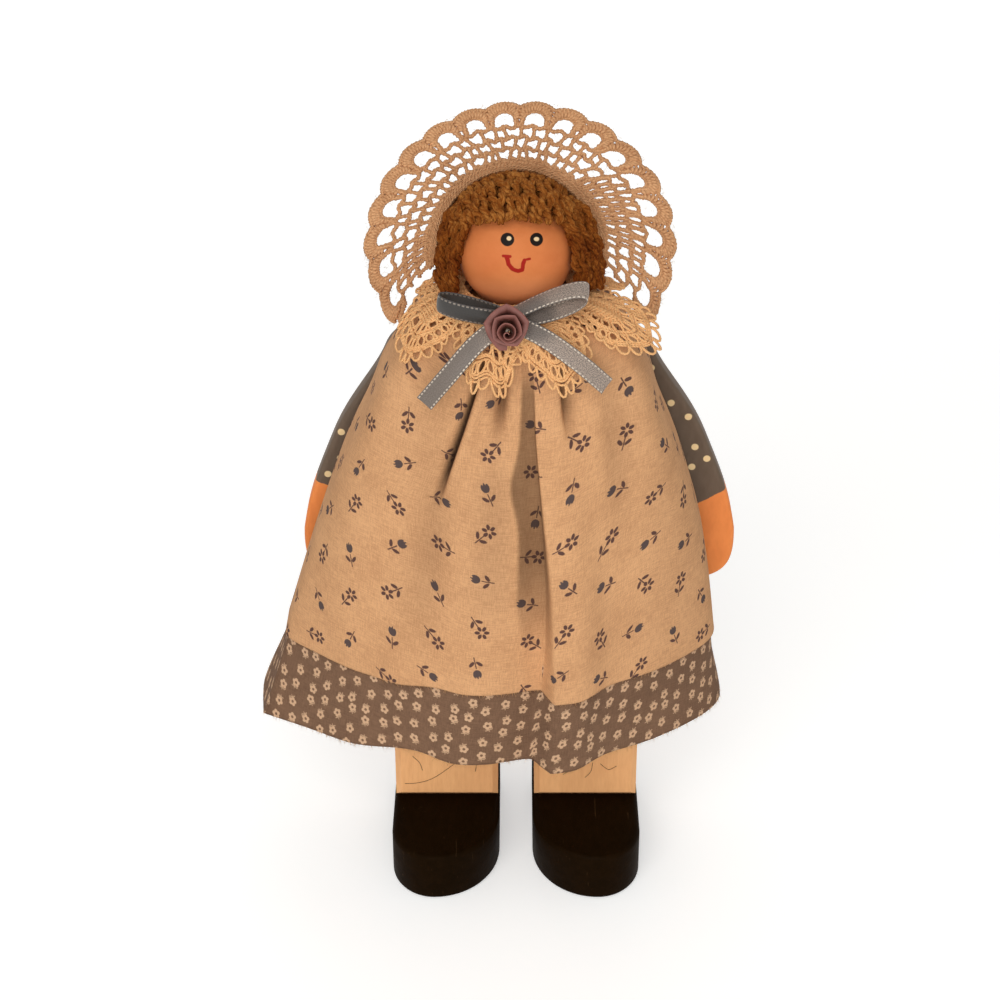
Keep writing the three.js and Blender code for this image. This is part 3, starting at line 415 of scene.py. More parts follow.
class Shade:
    """A number in a material. Arithmetic on it adds Math nodes."""

    def __init__(self, finish, socket):
        self.finish = finish
        self.socket = socket

    def math(self, operation, *values):
        """A Math node of this operation on the values."""
        return self.finish.node("Math", {"operation": operation}, dict(enumerate(values)))

    def __add__(self, other):
        return self.math("ADD", self, other)

    def __radd__(self, other):
        return self.math("ADD", other, self)

    def __sub__(self, other):
        return self.math("SUBTRACT", self, other)

    def __rsub__(self, other):
        return self.math("SUBTRACT", other, self)

    def __mul__(self, other):
        return self.math("MULTIPLY", self, other)

    def __rmul__(self, other):
        return self.math("MULTIPLY", other, self)

    def __truediv__(self, other):
        return self.math("DIVIDE", self, other)

    def __pow__(self, other):
        return self.math("POWER", self, other)

    def least(self, other):
        """The smaller of the two; of signed distances, both shapes together."""
        return self.math("MINIMUM", self, other)

    def most(self, other):
        """The larger of the two; of signed distances, what the shapes share."""
        return self.math("MAXIMUM", self, other)

    def apply(self, operation):
        """A Math node of one value, such as its sine."""
        return self.math(operation, self)

    def modulo(self, other):
        """What is left after whole steps of other, never below zero."""
        return self.math("FLOORED_MODULO", self, other)

    def between(self, low, high):
        """0 at low, 1 at high and smooth between; low may be the larger."""
        ends = {"Value": self, "From Min": low, "From Max": high}
        return self.finish.node("MapRange", {"interpolation_type": "SMOOTHSTEP"}, ends)

    def inside(self, soft=SOFT_EDGE):
        """Of a signed distance: 1 inside the shape and 0 outside, over an edge that is soft both ways."""
        return self.between(soft, -soft)


class Finish:
    """A node material in the making."""

    def __init__(self, name):
        self.material = bpy.data.materials.new(name)
        self.material.use_nodes = True
        self.tree = self.material.node_tree
        self.shader = self.tree.nodes["Principled BSDF"]

    def node(self, kind, settings=None, values=None, output=0):
        """Adds a node: its settings are set first, then the values or links of its sockets."""
        made = self.tree.nodes.new("ShaderNode" + kind)
        for key, value in (settings or {}).items():
            setattr(made, key, value)
        for key, value in (values or {}).items():
            self.plug(made.inputs[key], value)
        return Shade(self, made.outputs[output])

    def plug(self, socket, value):
        """Links a socket to a Shade, or sets it to a plain value."""
        if isinstance(value, Shade):
            self.tree.links.new(value.socket, socket)
        else:
            socket.default_value = value

    def set(self, **sockets):
        """Values or links of the shader's own sockets, with _ for a space in the name."""
        for key, value in sockets.items():
            self.plug(self.shader.inputs[key.replace("_", " ")], value)
        return self.material

    def place(self, kind, scale=(1, 1, 1)):
        """Object or UV coordinates, scaled; Object coordinates are in metres."""
        where = self.node("TexCoord", output={"UV": 2, "Object": 3}[kind])
        return self.node("Mapping", {}, {"Vector": where, "Scale": scale})

    def split(self, vector):
        """The x, y and z of a vector."""
        parts = self.node("SeparateXYZ", {}, {"Vector": vector})
        return [Shade(self, socket) for socket in parts.socket.node.outputs]

    def millimetres(self):
        """The x, y and z of a place in the frame, in millimetres."""
        return self.split(self.place("Object", (1 / MM, 1 / MM, 1 / MM)))

    def noise(self, vector, scale, detail, roughness=0.55):
        """Cloudy noise about 0.5, with scale bumps to a unit of the vector."""
        values = {"Vector": vector, "Scale": scale, "Detail": detail, "Roughness": roughness}
        return self.node("TexNoise", {}, values)

    def mix(self, factor, first, second):
        """Colour between first and second."""
        return self.node("Mix", {"data_type": "RGBA"}, {0: factor, 6: first, 7: second}, output=2)

    def bumped(self, height, distance, strength=1.0):
        """Normal for a height of 0 to 1 that stands distance millimetres proud."""
        return self.node("Bump", {}, {"Height": height, "Distance": distance * MM, "Strength": strength})


def oval(x, y, at, half, turn=0.0):
    """Signed distance, nearly, to an oval: the length of ((x, y) - at), turned and over the oval's half
    sizes, less 1, times the smaller half size."""
    c, s = float(np.cos(turn)), float(np.sin(turn))
    dx, dy = x - at[0], y - at[1]
    along = (dx * c + dy * s) / half[0]
    across = (dy * c - dx * s) / half[1]
    return ((along * along + across * across) ** 0.5 - 1) * min(half)


def stroke(x, y, start, end, half):
    """Signed distance to a round-ended brush stroke: from the nearest place between start and end, less
    half."""
    run = np.subtract(end, start).astype(float)
    dx, dy = x - start[0], y - start[1]
    t = ((dx * run[0] + dy * run[1]) / float(run @ run)).most(0.0).least(1.0)
    ex, ey = dx - t * run[0], dy - t * run[1]
    return (ex * ex + ey * ey) ** 0.5 - half


def turned(x, y, angle):
    """x and y turned by an angle that varies: x cos a + y sin a and y cos a - x sin a."""
    c, s = angle.apply("COSINE"), angle.apply("SINE")
    return x * c + y * s, y * c - x * s


def together(shapes):
    """Several shapes as one: the least of their signed distances."""
    whole, *others = shapes
    for shape in others:
        whole = whole.least(shape)
    return whole


def leafy_stem(x, y, foot, top):
    """Stem with a pair of leaves: a stroke and two ovals."""
    leaves = [oval(x, y, (side * 1.35, foot + 2.55), (1.35, 0.62), side * 0.75) for side in (-1, 1)]
    return together([stroke(x, y, (0.15, foot), (0.0, top), 0.2), *leaves])


def petals(x, y, count, reach, half):
    """Ring of petals: the angle is folded into one petal's share, and that petal is an oval."""
    share = 2 * np.pi / count
    angle = y.math("ARCTAN2", y, x).modulo(share) - share / 2
    radius = (x * x + y * y) ** 0.5
    return oval(radius * angle.apply("COSINE"), radius * angle.apply("SINE"), (reach, 0.0), half)


def tossed(finish, u, v, pitch, lively):
    """Half-drop repeat: the place within its cell, moved at random by up to half of lively each way, a
    random number for the cell, and whether its column and row add up to an odd number."""
    column = (u / pitch).apply("FLOOR")
    shift = (column * 0.5).apply("FRACT")
    row = (v / pitch + shift).apply("FLOOR")
    x = u - (column + 0.5) * pitch
    y = v - (row + 0.5 - shift) * pitch
    cell = finish.node("CombineXYZ", {}, {0: column, 1: row, 2: 0.5})
    dice = finish.node("TexWhiteNoise", {"noise_dimensions": "3D"}, {"Vector": cell}, output=1)
    first, second, third = finish.split(dice)
    x, y = x + (first - 0.5) * lively, y + (second - 0.5) * lively
    return x, y, third, (column + row).modulo(2.0)


def cotton(finish, u, v, base, shade):
    """Plain weave: the product of two sines for its threads, and noise drawn out along each set of
    threads for its slubs, as a colour and a height."""
    where = finish.node("CombineXYZ", {}, {0: u, 1: v, 2: 0.0})
    slubs = [
        finish.noise(finish.node("Mapping", {}, {"Vector": where, "Scale": scale}), 1.0, 2.0)
        for scale in ((0.22, 2.6, 1), (2.6, 0.3, 1))
    ]
    blotch = finish.noise(where, 0.06, 3.0)
    waves = [(a * (2 * np.pi / WEAVE_PITCH)).apply("SINE") for a in (u, v)]
    weave = waves[0] * waves[1] * 0.5 + 0.5
    grain = finish.noise(where, 2.9, 2.0)
    tone = (slubs[0] + slubs[1] - 1) * 1.3 + (grain - 0.5) * 1.1 + (blotch - 0.5) * 0.9 + 0.5
    height = weave * 0.35 + slubs[0] * 0.6 + slubs[1] * 0.6
    return finish.mix(tone.between(0.0, 1.0), shade, base), height


def muslin():
    """Cream cotton with tossed tulips and daisies in slate and plum, with painted shade where its folds
    close in and a painted shadow beside the pleat.
    """
    finish = Finish("muslin")
    u, v, _ = finish.split(finish.place("UV"))
    cloth, height = cotton(finish, u, v, base=colour(225, 172, 124), shade=colour(196, 145, 102))
    x, y, dice, odd = tossed(finish, u, v, TULIP_REPEAT, lively=3.4)
    x, y = turned(x, y, dice * (2 * np.pi))
    stem = leafy_stem(x, y, foot=-4.3, top=-0.2)
    cup = oval(x, y, (0.0, 2.2), (1.5, 1.75))
    for side in (-1, 1):
        cup = cup.most(0.0 - oval(x, y, (side * 0.62, 4.35), (0.42, 1.1), -side * 0.12))
    daisy = petals(x, y - 2.3, count=6, reach=1.62, half=(0.98, 0.62))
    worn = finish.noise(finish.place("UV"), 1.9, 2.0) * 0.3 - 0.15
    is_tulip = odd.math("GREATER_THAN", odd, 0.5)
    plum = (stem + worn).inside().most((daisy + worn).inside() * (1 - is_tulip))
    slate = (cup + worn).inside() * is_tulip
    printed = finish.mix(plum * 0.95, cloth, colour(82, 56, 54))
    printed = finish.mix(slate * 0.95, printed, colour(74, 64, 66))
    # Painted shade and painted shadow: the hollow attribute darkens the cloth towards dark brown.
    hollow = finish.node("Attribute", {"attribute_name": "hollow"}, output=2)
    return finish.set(
        Base_Color=finish.mix(hollow * 0.97, printed, colour(52, 32, 18)),
        Roughness=0.92,
        Specular_IOR_Level=0.2,
        Normal=finish.bumped(height, WEAVE_RELIEF),
    )


def calico():
    """Slate cotton with small cream five-petal flowers and sprigs in staggered rows."""
    finish = Finish("calico")
    u, v, _ = finish.split(finish.place("UV"))
    cloth, height = cotton(finish, u, v, base=colour(133, 101, 78), shade=colour(109, 81, 62))
    x, y, dice, odd = tossed(finish, u, v, CALICO_REPEAT, lively=1.9)
    x, y = turned(x, y, odd * np.pi + (dice - 0.5) * 0.9)
    flower = petals(x, y - 0.55, count=5, reach=0.98, half=(0.72, 0.68))
    flower = flower.most(0.0 - oval(x, y, (0.0, 0.55), (0.52, 0.52)))
    sprig = together(stroke(x, y, *brush) for brush in (
        ((0.0, -0.5), (0.25, -1.9), 0.13),
        ((0.1, -1.0), (1.25, -1.15), 0.17),
        ((0.1, -1.2), (-1.0, -1.5), 0.17),
        ((0.9, -0.3), (1.5, -0.7), 0.17),
    ))
    worn = finish.noise(finish.place("UV"), 3.1, 2.0) * 0.4 - 0.2
    sprig_mask = (sprig + worn).between(0.14, -0.1) * 0.8
    cream = (flower + worn).inside().most(sprig_mask)
    return finish.set(
        Base_Color=finish.mix(cream * 0.9, cloth, colour(216, 176, 140)),
        Roughness=0.93,
        Specular_IOR_Level=0.2,
        Normal=finish.bumped(height, WEAVE_RELIEF),
    )


def thread(name, light, dark, pitch, roughness=0.85):
    """Twisted thread: slanting plies, a sine of the place along and round it, and speckled fibres."""
    finish = Finish(name)
    along, round_it, _ = finish.split(finish.place("UV"))
    ply = ((along / pitch + round_it * 2) * (2 * np.pi)).apply("SINE") * 0.5 + 0.5
    fleck = finish.noise(finish.place("Object"), 1600.0, 2.0)
    patch = finish.noise(finish.place("Object"), 90.0, 2.0)
    tone = ply * 0.35 + fleck * 0.75 + patch * 0.5 - 0.3
    return finish.set(
        Base_Color=finish.mix(tone.between(0.0, 1.0), dark, light),
        Roughness=roughness,
        Specular_IOR_Level=0.2,
        Normal=finish.bumped(ply + fleck, 0.12),
    )


def hair_yarn():
    """Loose brown yarn: long fibres along each ply, from dark to golden, and painted light that makes
    it lighter towards the top of the head.
    """
    finish = Finish("hair_yarn")
    along, round_it, _ = finish.split(finish.place("UV"))
    patch = finish.noise(finish.place("Object"), 150.0, 2.0)
    where = finish.node("CombineXYZ", {}, {0: along * 0.3, 1: round_it * 7, 2: patch * 15})
    streak = finish.noise(where, 1.0, 3.0, 0.6)
    _, _, height = finish.millimetres()
    # Painted light: lighter from just above the middle of the head up to its top.
    painted_top_light = height.between(HEAD_Z + 4, HEAD_Z + 20)
    tone = streak * 1.5 + patch * 0.7 + painted_top_light * 0.24 - 0.66
    brown = finish.mix(tone.between(0.1, 0.6), colour(76, 25, 1), colour(130, 69, 20))
    return finish.set(
        Base_Color=finish.mix(tone.between(0.5, 1.0), brown, colour(178, 116, 54)),
        Roughness=0.95,
        Specular_IOR_Level=0.1,
        Normal=finish.bumped(streak, 0.4),
    )


def painted_wood(finish, base, shade, grain=(60, 60, 9)):
    """Brushed paint over wood: long streaks, faint blotches and a little grain in relief, as a colour and
    a normal. grain is how fine the streaks are along each axis."""
    streak = finish.noise(finish.place("Object", grain), 12.0, 4.0, 0.6)
    blotch = finish.noise(finish.place("Object"), 40.0, 3.0)
    tone = (streak - 0.5) * 1.1 + (blotch - 0.5) * 0.9 + 0.5
    return finish.mix(tone.between(0.0, 1.0), shade, base), finish.bumped(streak, 0.25, 0.7)


def cream_paint():
    """Legs and body: cream paint, streaked by the brush."""
    finish = Finish("cream_paint")
    paint, relief = painted_wood(finish, colour(252, 190, 128), colour(234, 168, 110))
    return finish.set(Base_Color=paint, Roughness=0.62, Normal=relief)


def black_paint():
    """Shoes: near-black satin paint with fine scratches and rubbed spots."""
    finish = Finish("black_paint")
    paint, relief = painted_wood(finish, colour(29, 16, 4), colour(19, 9, 1), (30, 12, 30))
    rub = finish.noise(finish.place("Object", (1, 1, 2.5)), 260.0, 4.0, 0.7).between(0.66, 0.8)
    scratch = finish.noise(finish.place("Object", (420, 30, 60)), 2.2, 3.0).between(0.68, 0.74)
    worn = finish.mix(rub.most(scratch) * 0.3, paint, colour(86, 64, 42))
    rough = finish.noise(finish.place("Object"), 130.0, 3.0) * 0.25 + 0.42
    return finish.set(Base_Color=worn, Roughness=rough, Normal=relief, Specular_IOR_Level=0.02)


def face_paint():
    """Turned ball: peach paint with two black eyes, their cream highlights and a red smile, and painted
    light that makes it lighter towards the chin.
    """
    finish = Finish("face_paint")
    paint, relief = painted_wood(finish, colour(219, 131, 75), colour(208, 119, 65), (14, 14, 20))
    x, y, z = finish.millimetres()
    x, y, z = x - float(MIDDLE[0]), y - float(MIDDLE[1]), z - float(HEAD_Z)
    c, s = float(np.cos(HEAD_TILT)), float(np.sin(HEAD_TILT))
    ahead, up = z * s - y * c, y * s + z * c
    front = ahead.math("GREATER_THAN", ahead, 0.0)
    wobble = (finish.noise(finish.place("Object"), 700.0, 2.0) - 0.5) * 0.35
    eyes = oval(x, up, (-2.75, 3.5), (2.2, 2.15)).least(oval(x, up, (6.6, 3.5), (2.1, 2.15)))
    glints = oval(x, up, (-2.25, 3.85), (0.76, 0.7)).least(oval(x, up, (6.6, 3.6), (0.86, 0.66)))
    lip = [(-2.95, -2.1), (-2.4, -4.4), (-1.0, -6.05), (0.75, -6.6), (2.1, -6.15), (2.25, -4.3), (2.7, -3.2)]
    smile = together(stroke(x, up, *brush) for brush in (
        (lip[0], lip[1], 0.72),
        *((start, end, 0.66) for start, end in zip(lip[1:-1], lip[2:])),
        ((-4.15, -1.75), (-1.85, -1.95), 0.45),
        ((2.6, -3.1), (4.45, -2.65), 0.38),
    ))
    blush = oval(x, up, (-8.5, -3.5), (4.5, 3.5)).least(oval(x, up, (11.0, -3.5), (4.5, 3.5)))
    # Painted light: the face gets lighter below its middle, towards the chin.
    paint = finish.mix(up.between(-6.0, -17.0) * 0.5, paint, colour(240, 166, 118))
    skin = finish.mix(blush.between(4.0, -3.0) * front * 0.12, paint, colour(205, 88, 55))
    skin = finish.mix((smile + wobble).inside() * front, skin, colour(160, 25, 13))
    skin = finish.mix((eyes + wobble * 0.5).inside() * front, skin, colour(15, 6, 2))
    skin = finish.mix((glints + wobble * 0.5).inside() * front, skin, colour(236, 206, 160))
    return finish.set(Base_Color=skin, Roughness=0.6, Specular_IOR_Level=0.15, Normal=relief)


def arm_paint(label):
    """Flat arm: slate sleeve with cream dots, and a peach hand below the cuff line. Places are across the
    arm, outward from its middle line, and down it from its screw."""
    finish = Finish(f"{label}_arm_paint")
    sleeve, relief = painted_wood(finish, colour(113, 94, 78), colour(98, 81, 66), (30, 30, 12))
    peach, _ = painted_wood(finish, colour(250, 150, 80), colour(232, 134, 70), (30, 30, 12))
    pivot = (ARM_PIVOTS[f"{label}_arm"] + MIDDLE).tolist()
    x, _, z = finish.millimetres()
    x, z = (x - pivot[0]) * SIDES[label], z - pivot[2]
    c, s = float(np.cos(ARM_REST)), float(np.sin(ARM_REST))
    out, down = x * c + z * s, x * s - z * c
    wobble = (finish.noise(finish.place("Object"), 500.0, 2.0) - 0.5) * 0.6
    cuff_at, slope = CUFF_LINES[label]
    cuff = (down + wobble + out * slope).between(cuff_at - SLEEVE_EDGE, cuff_at + SLEEVE_EDGE)
    spots = together(oval(out, down, dot, (DOT_RADIUS, DOT_RADIUS)) for dot in ARM_DOTS[label])
    arm = finish.mix((spots + wobble * 0.5).inside(SLEEVE_EDGE), sleeve, colour(248, 214, 160))
    return finish.set(
        Base_Color=finish.mix(cuff, arm, peach),
        Roughness=0.6,
        Specular_IOR_Level=0.2,
        Normal=relief,
    )


def ribbon_satin(name, low, high, stitched):
    """Slate satin: fine ribs across, tiny flecks that change its roughness and that are painted into its
    colour as sparkle highlights, and a line of silver stitches along each edge. Painted shade makes it
    dark beside the knot and darker on the left."""
    finish = Finish(name)
    along, across, _ = finish.split(finish.place("UV"))
    fleck = finish.noise(finish.place("UV", (2.3, 2.3 * RIBBON_WIDTH, 1)), 1.0, 2.0, 0.7)
    ribs = (along * (2 * np.pi / 0.38)).apply("SINE") * 0.5 + 0.5
    edge = (across - 0.5).apply("ABSOLUTE")
    line = (edge - 0.435).apply("ABSOLUTE").between(0.055, 0.03)
    dash = (along / 1.45).apply("FRACT").between(0.62, 0.5)
    stitch = line * dash
    hem = edge.between(0.455, 0.48)
    # Painted sparkle highlights: the light flecks lift the colour from low towards high.
    cloth = finish.mix((fleck * 0.85 + ribs * 0.15).between(0.36, 0.62), low, high)
    cloth = finish.mix(hem * 0.45, cloth, colour(78, 72, 68))
    x, _, z = finish.millimetres()
    aside, above = x - (BOW + MIDDLE)[0] - 8.5, z - BOW[2]
    # Painted shade: darker round a place just right of the knot.
    painted_knot_shade = (aside * aside + above * above).apply("SQRT").between(9.5, 4)
    cloth = finish.mix(painted_knot_shade * 0.62, cloth, colour(62, 58, 56))
    # Painted shade: darker on the left, towards the low colour.
    cloth = finish.mix(aside.between(-12, -20) * 0.75, cloth, low)
    return finish.set(
        Base_Color=finish.mix(stitch, cloth, stitched),
        Roughness=fleck * -0.3 + 0.58,
        Metallic=stitch * 0.35,
        Anisotropic=0.4,
        Sheen_Weight=0.2,
        Normal=finish.bumped(stitch + ribs * 0.12 + fleck * 0.15, 0.2),
    )


def rose_satin():
    """Plum satin, with painted shade deep between its turns and painted light towards each lip."""
    finish = Finish("rose_satin")
    along, across, _ = finish.split(finish.place("UV"))
    ribs = (along * (2 * np.pi / 0.34)).apply("SINE") * 0.5 + 0.5
    # Painted shade and light: darker at the foot of each turn and lighter towards its lip, with random
    # patches.
    tone = finish.noise(finish.place("UV", (0.35, 0.8, 1)), 1.0, 2.0) * 0.6 + across * across * 0.7 - 0.2
    cloth = finish.mix(tone.between(0.0, 1.0), colour(58, 23, 17), colour(143, 89, 79))
    return finish.set(
        Base_Color=cloth,
        Roughness=0.45,
        Specular_IOR_Level=0.35,
        Normal=finish.bumped(ribs, 0.06),
    )


def screw_steel():
    """Zinc-plated steel, faintly brushed."""
    finish = Finish("screw_steel")
    streak = finish.noise(finish.place("Object", (900, 200, 900)), 1.0, 2.0)
    return finish.set(
        Base_Color=finish.mix(streak, colour(150, 146, 138), colour(198, 194, 186)),
        Metallic=1.0,
        Roughness=streak * 0.2 + 0.28,
        Normal=finish.bumped(streak, 0.04),
    )


def bare_wood():
    """Pale dowel wood with fine pores along it."""
    finish = Finish("bare_wood")
    wood, relief = painted_wood(finish, colour(222, 184, 134), colour(196, 152, 102), (300, 300, 14))
    return finish.set(Base_Color=wood, Roughness=0.7, Normal=relief)


# Pieces


def add_object(name, data):
    """A new object in the scene, at the origin."""
    made = bpy.data.objects.new(name, data)
    bpy.context.scene.collection.objects.link(made)
    return made


def repaint(node, material):
    """Gives a node of the frame this material alone."""
    materials = frame["nodes"][node].data.materials
    materials.clear()
    materials.append(material)


def piece(name, shape, material, slot, body="doll", stands_for=(), thickness=0.0):
    """Makes a shape an object of the doll. A shape is its points and faces, and where its material reads
    them the texture place of each corner and the painted shade of each point, kept in the hollow
    attribute. A sheet gets its thickness from Solidify, outside and inside alike."""
    points, faces = shape[:2]
    mesh = bpy.data.meshes.new(name)
    mesh.from_pydata((points + MIDDLE) * MM, [], faces)
    mesh.shade_smooth()
    if len(shape) > 2:
        layer = mesh.uv_layers.new(name="UVMap")
        layer.data.foreach_set("uv", np.ascontiguousarray(shape[2], np.float32).ravel())
    # The fourth part of a shape is painted shade, which the material reads from the hollow attribute.
    if len(shape) > 3:
        hollow = mesh.attributes.new("hollow", "FLOAT", "POINT")
        hollow.data.foreach_set("value", np.ascontiguousarray(shape[3], np.float32).ravel())
    mesh.materials.append(material)
    made = add_object(name, mesh)
    if thickness:
        solid = made.modifiers.new("thickness", "SOLIDIFY")
        solid.thickness = thickness * MM
        solid.offset = 0
    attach(made, body)
    if stands_for:
        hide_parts(*stands_for)
    return made


# Wooden pieces


def arc(middle, reach, start, end, steps):
    """Points of an elliptical arc: middle + reach (cos a, sin a), with angles in degrees."""
    angle = np.radians(np.linspace(start, end, steps))
    return np.stack([middle[0] + reach[0] * np.cos(angle), middle[1] + reach[1] * np.sin(angle)], -1)


def bezier(start, *curves):
    """Cubic curves one after another, each given by its two handles and its end."""
    t = np.linspace(0, 1, CURVE_STEPS, endpoint=False)[:, None]
    runs = []
    for first, second, end in curves:
        a, b, c, d = (np.array(p, float) for p in (start, first, second, end))
        runs.append((1 - t) ** 3 * a + 3 * t * (1 - t) ** 2 * b + 3 * t**2 * (1 - t) * c + t**3 * d)
        start = end
    return np.concatenate(runs)


def shoe_shape(side):
    """A board with rounded heel corners, and a toe of two quarter ellipses whose tip lies outward."""
    half, heel, tip = SHOE_HALF_WIDTH, SHOE_HEEL_CORNER, side * SHOE_TIP_SHIFT
    left, right = (SHOE_TOE_LONG, SHOE_TOE_SHORT)[::side]
    outline = np.concatenate([
        arc((tip, TOE_Y + left), (half + tip, left), 180, 270, 25)[:-1],
        arc((tip, TOE_Y + right), (half - tip, right), 270, 360, 25),
        arc((half - heel, HEEL_Y - heel), (heel, heel), 0, 90, 12),
        arc((heel - half, HEEL_Y - heel), (heel, heel), 90, 180, 12),
    ])
    points, faces = board(outline, SHOE_THICKNESS)
    return points + [side * LEG_CENTRE, 0, SHOE_THICKNESS / 2], faces


def arm_shape(label):
    """A flat cut-out: round shoulder, full sleeve and a mitten hand, turned out to its rest angle."""
    shoulder, sleeve, inner = ARM_SHOULDER, ARM_SLEEVE_OUT, ARM_SLEEVE_IN
    hand, palm = ARM_HAND_OUT, ARM_HAND_IN
    middle, tip = ARM_CUFF_AT / 2, ARM_LENGTH - 4
    outline = np.concatenate([
        arc((0, 0), (shoulder, shoulder), 180, 0, 40)[:-1],
        bezier(
            (shoulder, 0),
            ((shoulder, -middle / 3), (sleeve, -middle * 0.7), (sleeve, -middle * 1.2)),
            ((sleeve, -ARM_CUFF_AT * 0.9), (sleeve, -ARM_CUFF_AT), (hand, -ARM_HAND_AT)),
            ((hand - 4, -tip), (hand / 2, -ARM_LENGTH), (0, -ARM_LENGTH)),
            ((-palm / 2, -ARM_LENGTH), (-palm, -tip), (-palm, -ARM_HAND_AT)),
            ((-palm, -ARM_CUFF_AT), (-inner, -ARM_CUFF_AT), (-inner, -middle * 1.5)),
            ((-inner, -middle), (-shoulder, -middle / 2), (-shoulder, 0)),
        ),
    ])
    points, faces = board(outline, ARM_BACK - ARM_FRONT)
    out, down, through_it = points.T
    c, s = np.cos(ARM_REST), np.sin(ARM_REST)
    side, pivot = SIDES[label], ARM_PIVOTS[f"{label}_arm"]
    x = side * (out * c - down * s)
    z = down * c + out * s
    placed = np.stack([pivot[0] + x, (ARM_FRONT + ARM_BACK) / 2 - side * through_it, pivot[2] + z], -1)
    return placed, faces


def ball_shape():
    """Sphere: rings of latitude from pole to pole, with small closed caps at the poles."""
    rise = np.linspace(np.pi / 2 - POLE_GAP, POLE_GAP - np.pi / 2, BALL_RINGS)[:, None]
    turn = np.linspace(0, 2 * np.pi, BALL_COLUMNS, endpoint=False)[None]
    flat = np.cos(rise)
    points = HEAD_RADIUS * np.stack([flat * np.sin(turn), -flat * np.cos(turn), np.sin(rise) + 0 * turn], -1)
    points, faces, _ = grid(points, np.zeros((BALL_RINGS, BALL_COLUMNS + 1, 2)), wrap=True)
    last = BALL_RINGS * BALL_COLUMNS - 1
    caps = [list(range(BALL_COLUMNS)), list(range(last, last - BALL_COLUMNS, -1))]
    return points + [0, 0, HEAD_Z], [*faces.tolist(), *caps]


# Cloth


def ring(turn, side, front, back, left, right, behind):
    """Rounded-square ring: (|sin a| r / side)^n + (|cos a| r / depth)^n = 1, with a the turn spread to
    the sides and n the squareness, which goes over from left to right in front. Returns a and r."""
    angle = np.arctan2(np.sqrt(side / front) * np.sin(turn), np.cos(turn))
    ahead = np.cos(angle) >= 0
    power = np.where(ahead, left + (right - left) * (1 + np.sin(angle)) / 2, behind)
    depth = np.where(ahead, front, back)
    across = (np.abs(np.sin(angle)) / side) ** power
    along = (np.abs(np.cos(angle)) / depth) ** power
    return angle, (across + along) ** (-1 / power)


def pleat_edge(drop):
    """Turn at which the pleat beside the middle starts, farther to the right lower down."""
    return 0.16 + 0.0015 * drop - 4e-6 * drop**2


def fold(turn, drop):
    """How far the cloth stands out, by radians of turn and millimetres of drop: waves that grow towards
    the hem, a pleat beside the middle with its valley, and two fuller folds on the left."""
    growth = smooth(SHOULDER_HEIGHT / 2, HEM_DROP, drop)
    facing = smooth(-0.02, 0.3, np.cos(turn))
    free = facing * growth + (1 - facing) * smooth(FLARE_DROP, HEM_DROP, drop)
    waves = 1.2 * free * np.cos(7 * turn + 0.8)
    beside = turn - pleat_edge(drop)
    pleat = 9.5 * smooth(5, 120, drop) * smooth(-0.03, 0.02, beside)
    pleat = pleat * np.exp(-((np.maximum(beside - 0.1, 0) / 0.22) ** 2))
    valley = 1.2 * smooth(5, 45, drop) * (1 - 0.5 * smooth(80, 130, drop)) * bump(beside, -0.07, 0.075)
    left = growth * 1.8 * bump(turn, -0.2, 0.18)
    left = left + growth * 3.5 * bump(turn, -0.66, 0.17) * (1 - smooth(APRON_DROP, HEM_DROP, drop))
    return waves + pleat - valley + left


def gathers(turn, drop):
    """How the gathered apron departs from the folds below: how far it stands out, how far it slides
    round, and how much painted shade it gets. The pleat's edge hangs over the cloth beside it, and its
    shadow is painted on that cloth; a slit slants down from the collar; short tufts hang from the
    collar; two soft hollows lie beside them. The slit, the tufts, the hollows, a broad stretch left of
    the pleat and a patch high on the left all get painted shade."""
    beside = turn - pleat_edge(drop)
    lifted = smooth(8, 50, drop) * (1 - 0.6 * smooth(105, 129, drop))
    slide = lifted * (0.03 * bump(beside, -0.035, 0.03) - 0.03 * bump(beside, 0.02, 0.03))
    slit = turn + 0.325 + 0.0044 * drop
    reach = smooth(4, 16, drop) * (1 - smooth(42, 66, drop))
    hung = smooth(0, 10, drop) * (1 - smooth(22, 42, drop))
    tufts = hung * (bump(turn, -0.14, 0.06) + bump(turn, 0.475, 0.045))
    hollow = bump(drop, 80, 30) * bump(turn, -0.6, 0.14)
    dip = bump(drop, 38, 25) * bump(turn, 0.8, 0.1)
    out = reach * (1.6 * bump(slit, 0.1, 0.06) - 4 * bump(slit, 0, 0.035)) - 4 * tufts - 4 * hollow - 3 * dip
    # Painted shadow of the pleat: a band from starts to the pleat's edge, strongest high up.
    starts = 0.06 - 0.07 * bump(drop, 53, 10) + 0.12 * smooth(92, 125, drop)
    shade = smooth(-0.025, 0.02, turn - starts) * (1 - smooth(-0.01, 0.012, beside))
    shade = 0.62 * shade * smooth(8, 22, drop) * (1 - smooth(76, 120, drop))
    # Painted shade on a broad stretch left of the pleat, in the slit and on a patch high on the left.
    broad = smooth(30, 60, drop) * (1 - smooth(80, 115, drop)) * bump(beside, -0.38, 0.16)
    slot = reach * (1 - smooth(0.016, 0.055, np.abs(slit - 0.01)))
    aside = bump(drop, 30, 22) * bump(turn, -0.72, 0.2)
    # closed is all of the painted shade, 0 for none and 1 for the darkest.
    closed = shade + 0.2 * broad + 0.12 * aside + 1.1 * slot + 0.75 * tufts + 0.25 * hollow + 0.25 * dip
    return out, slide, np.minimum(1, closed)


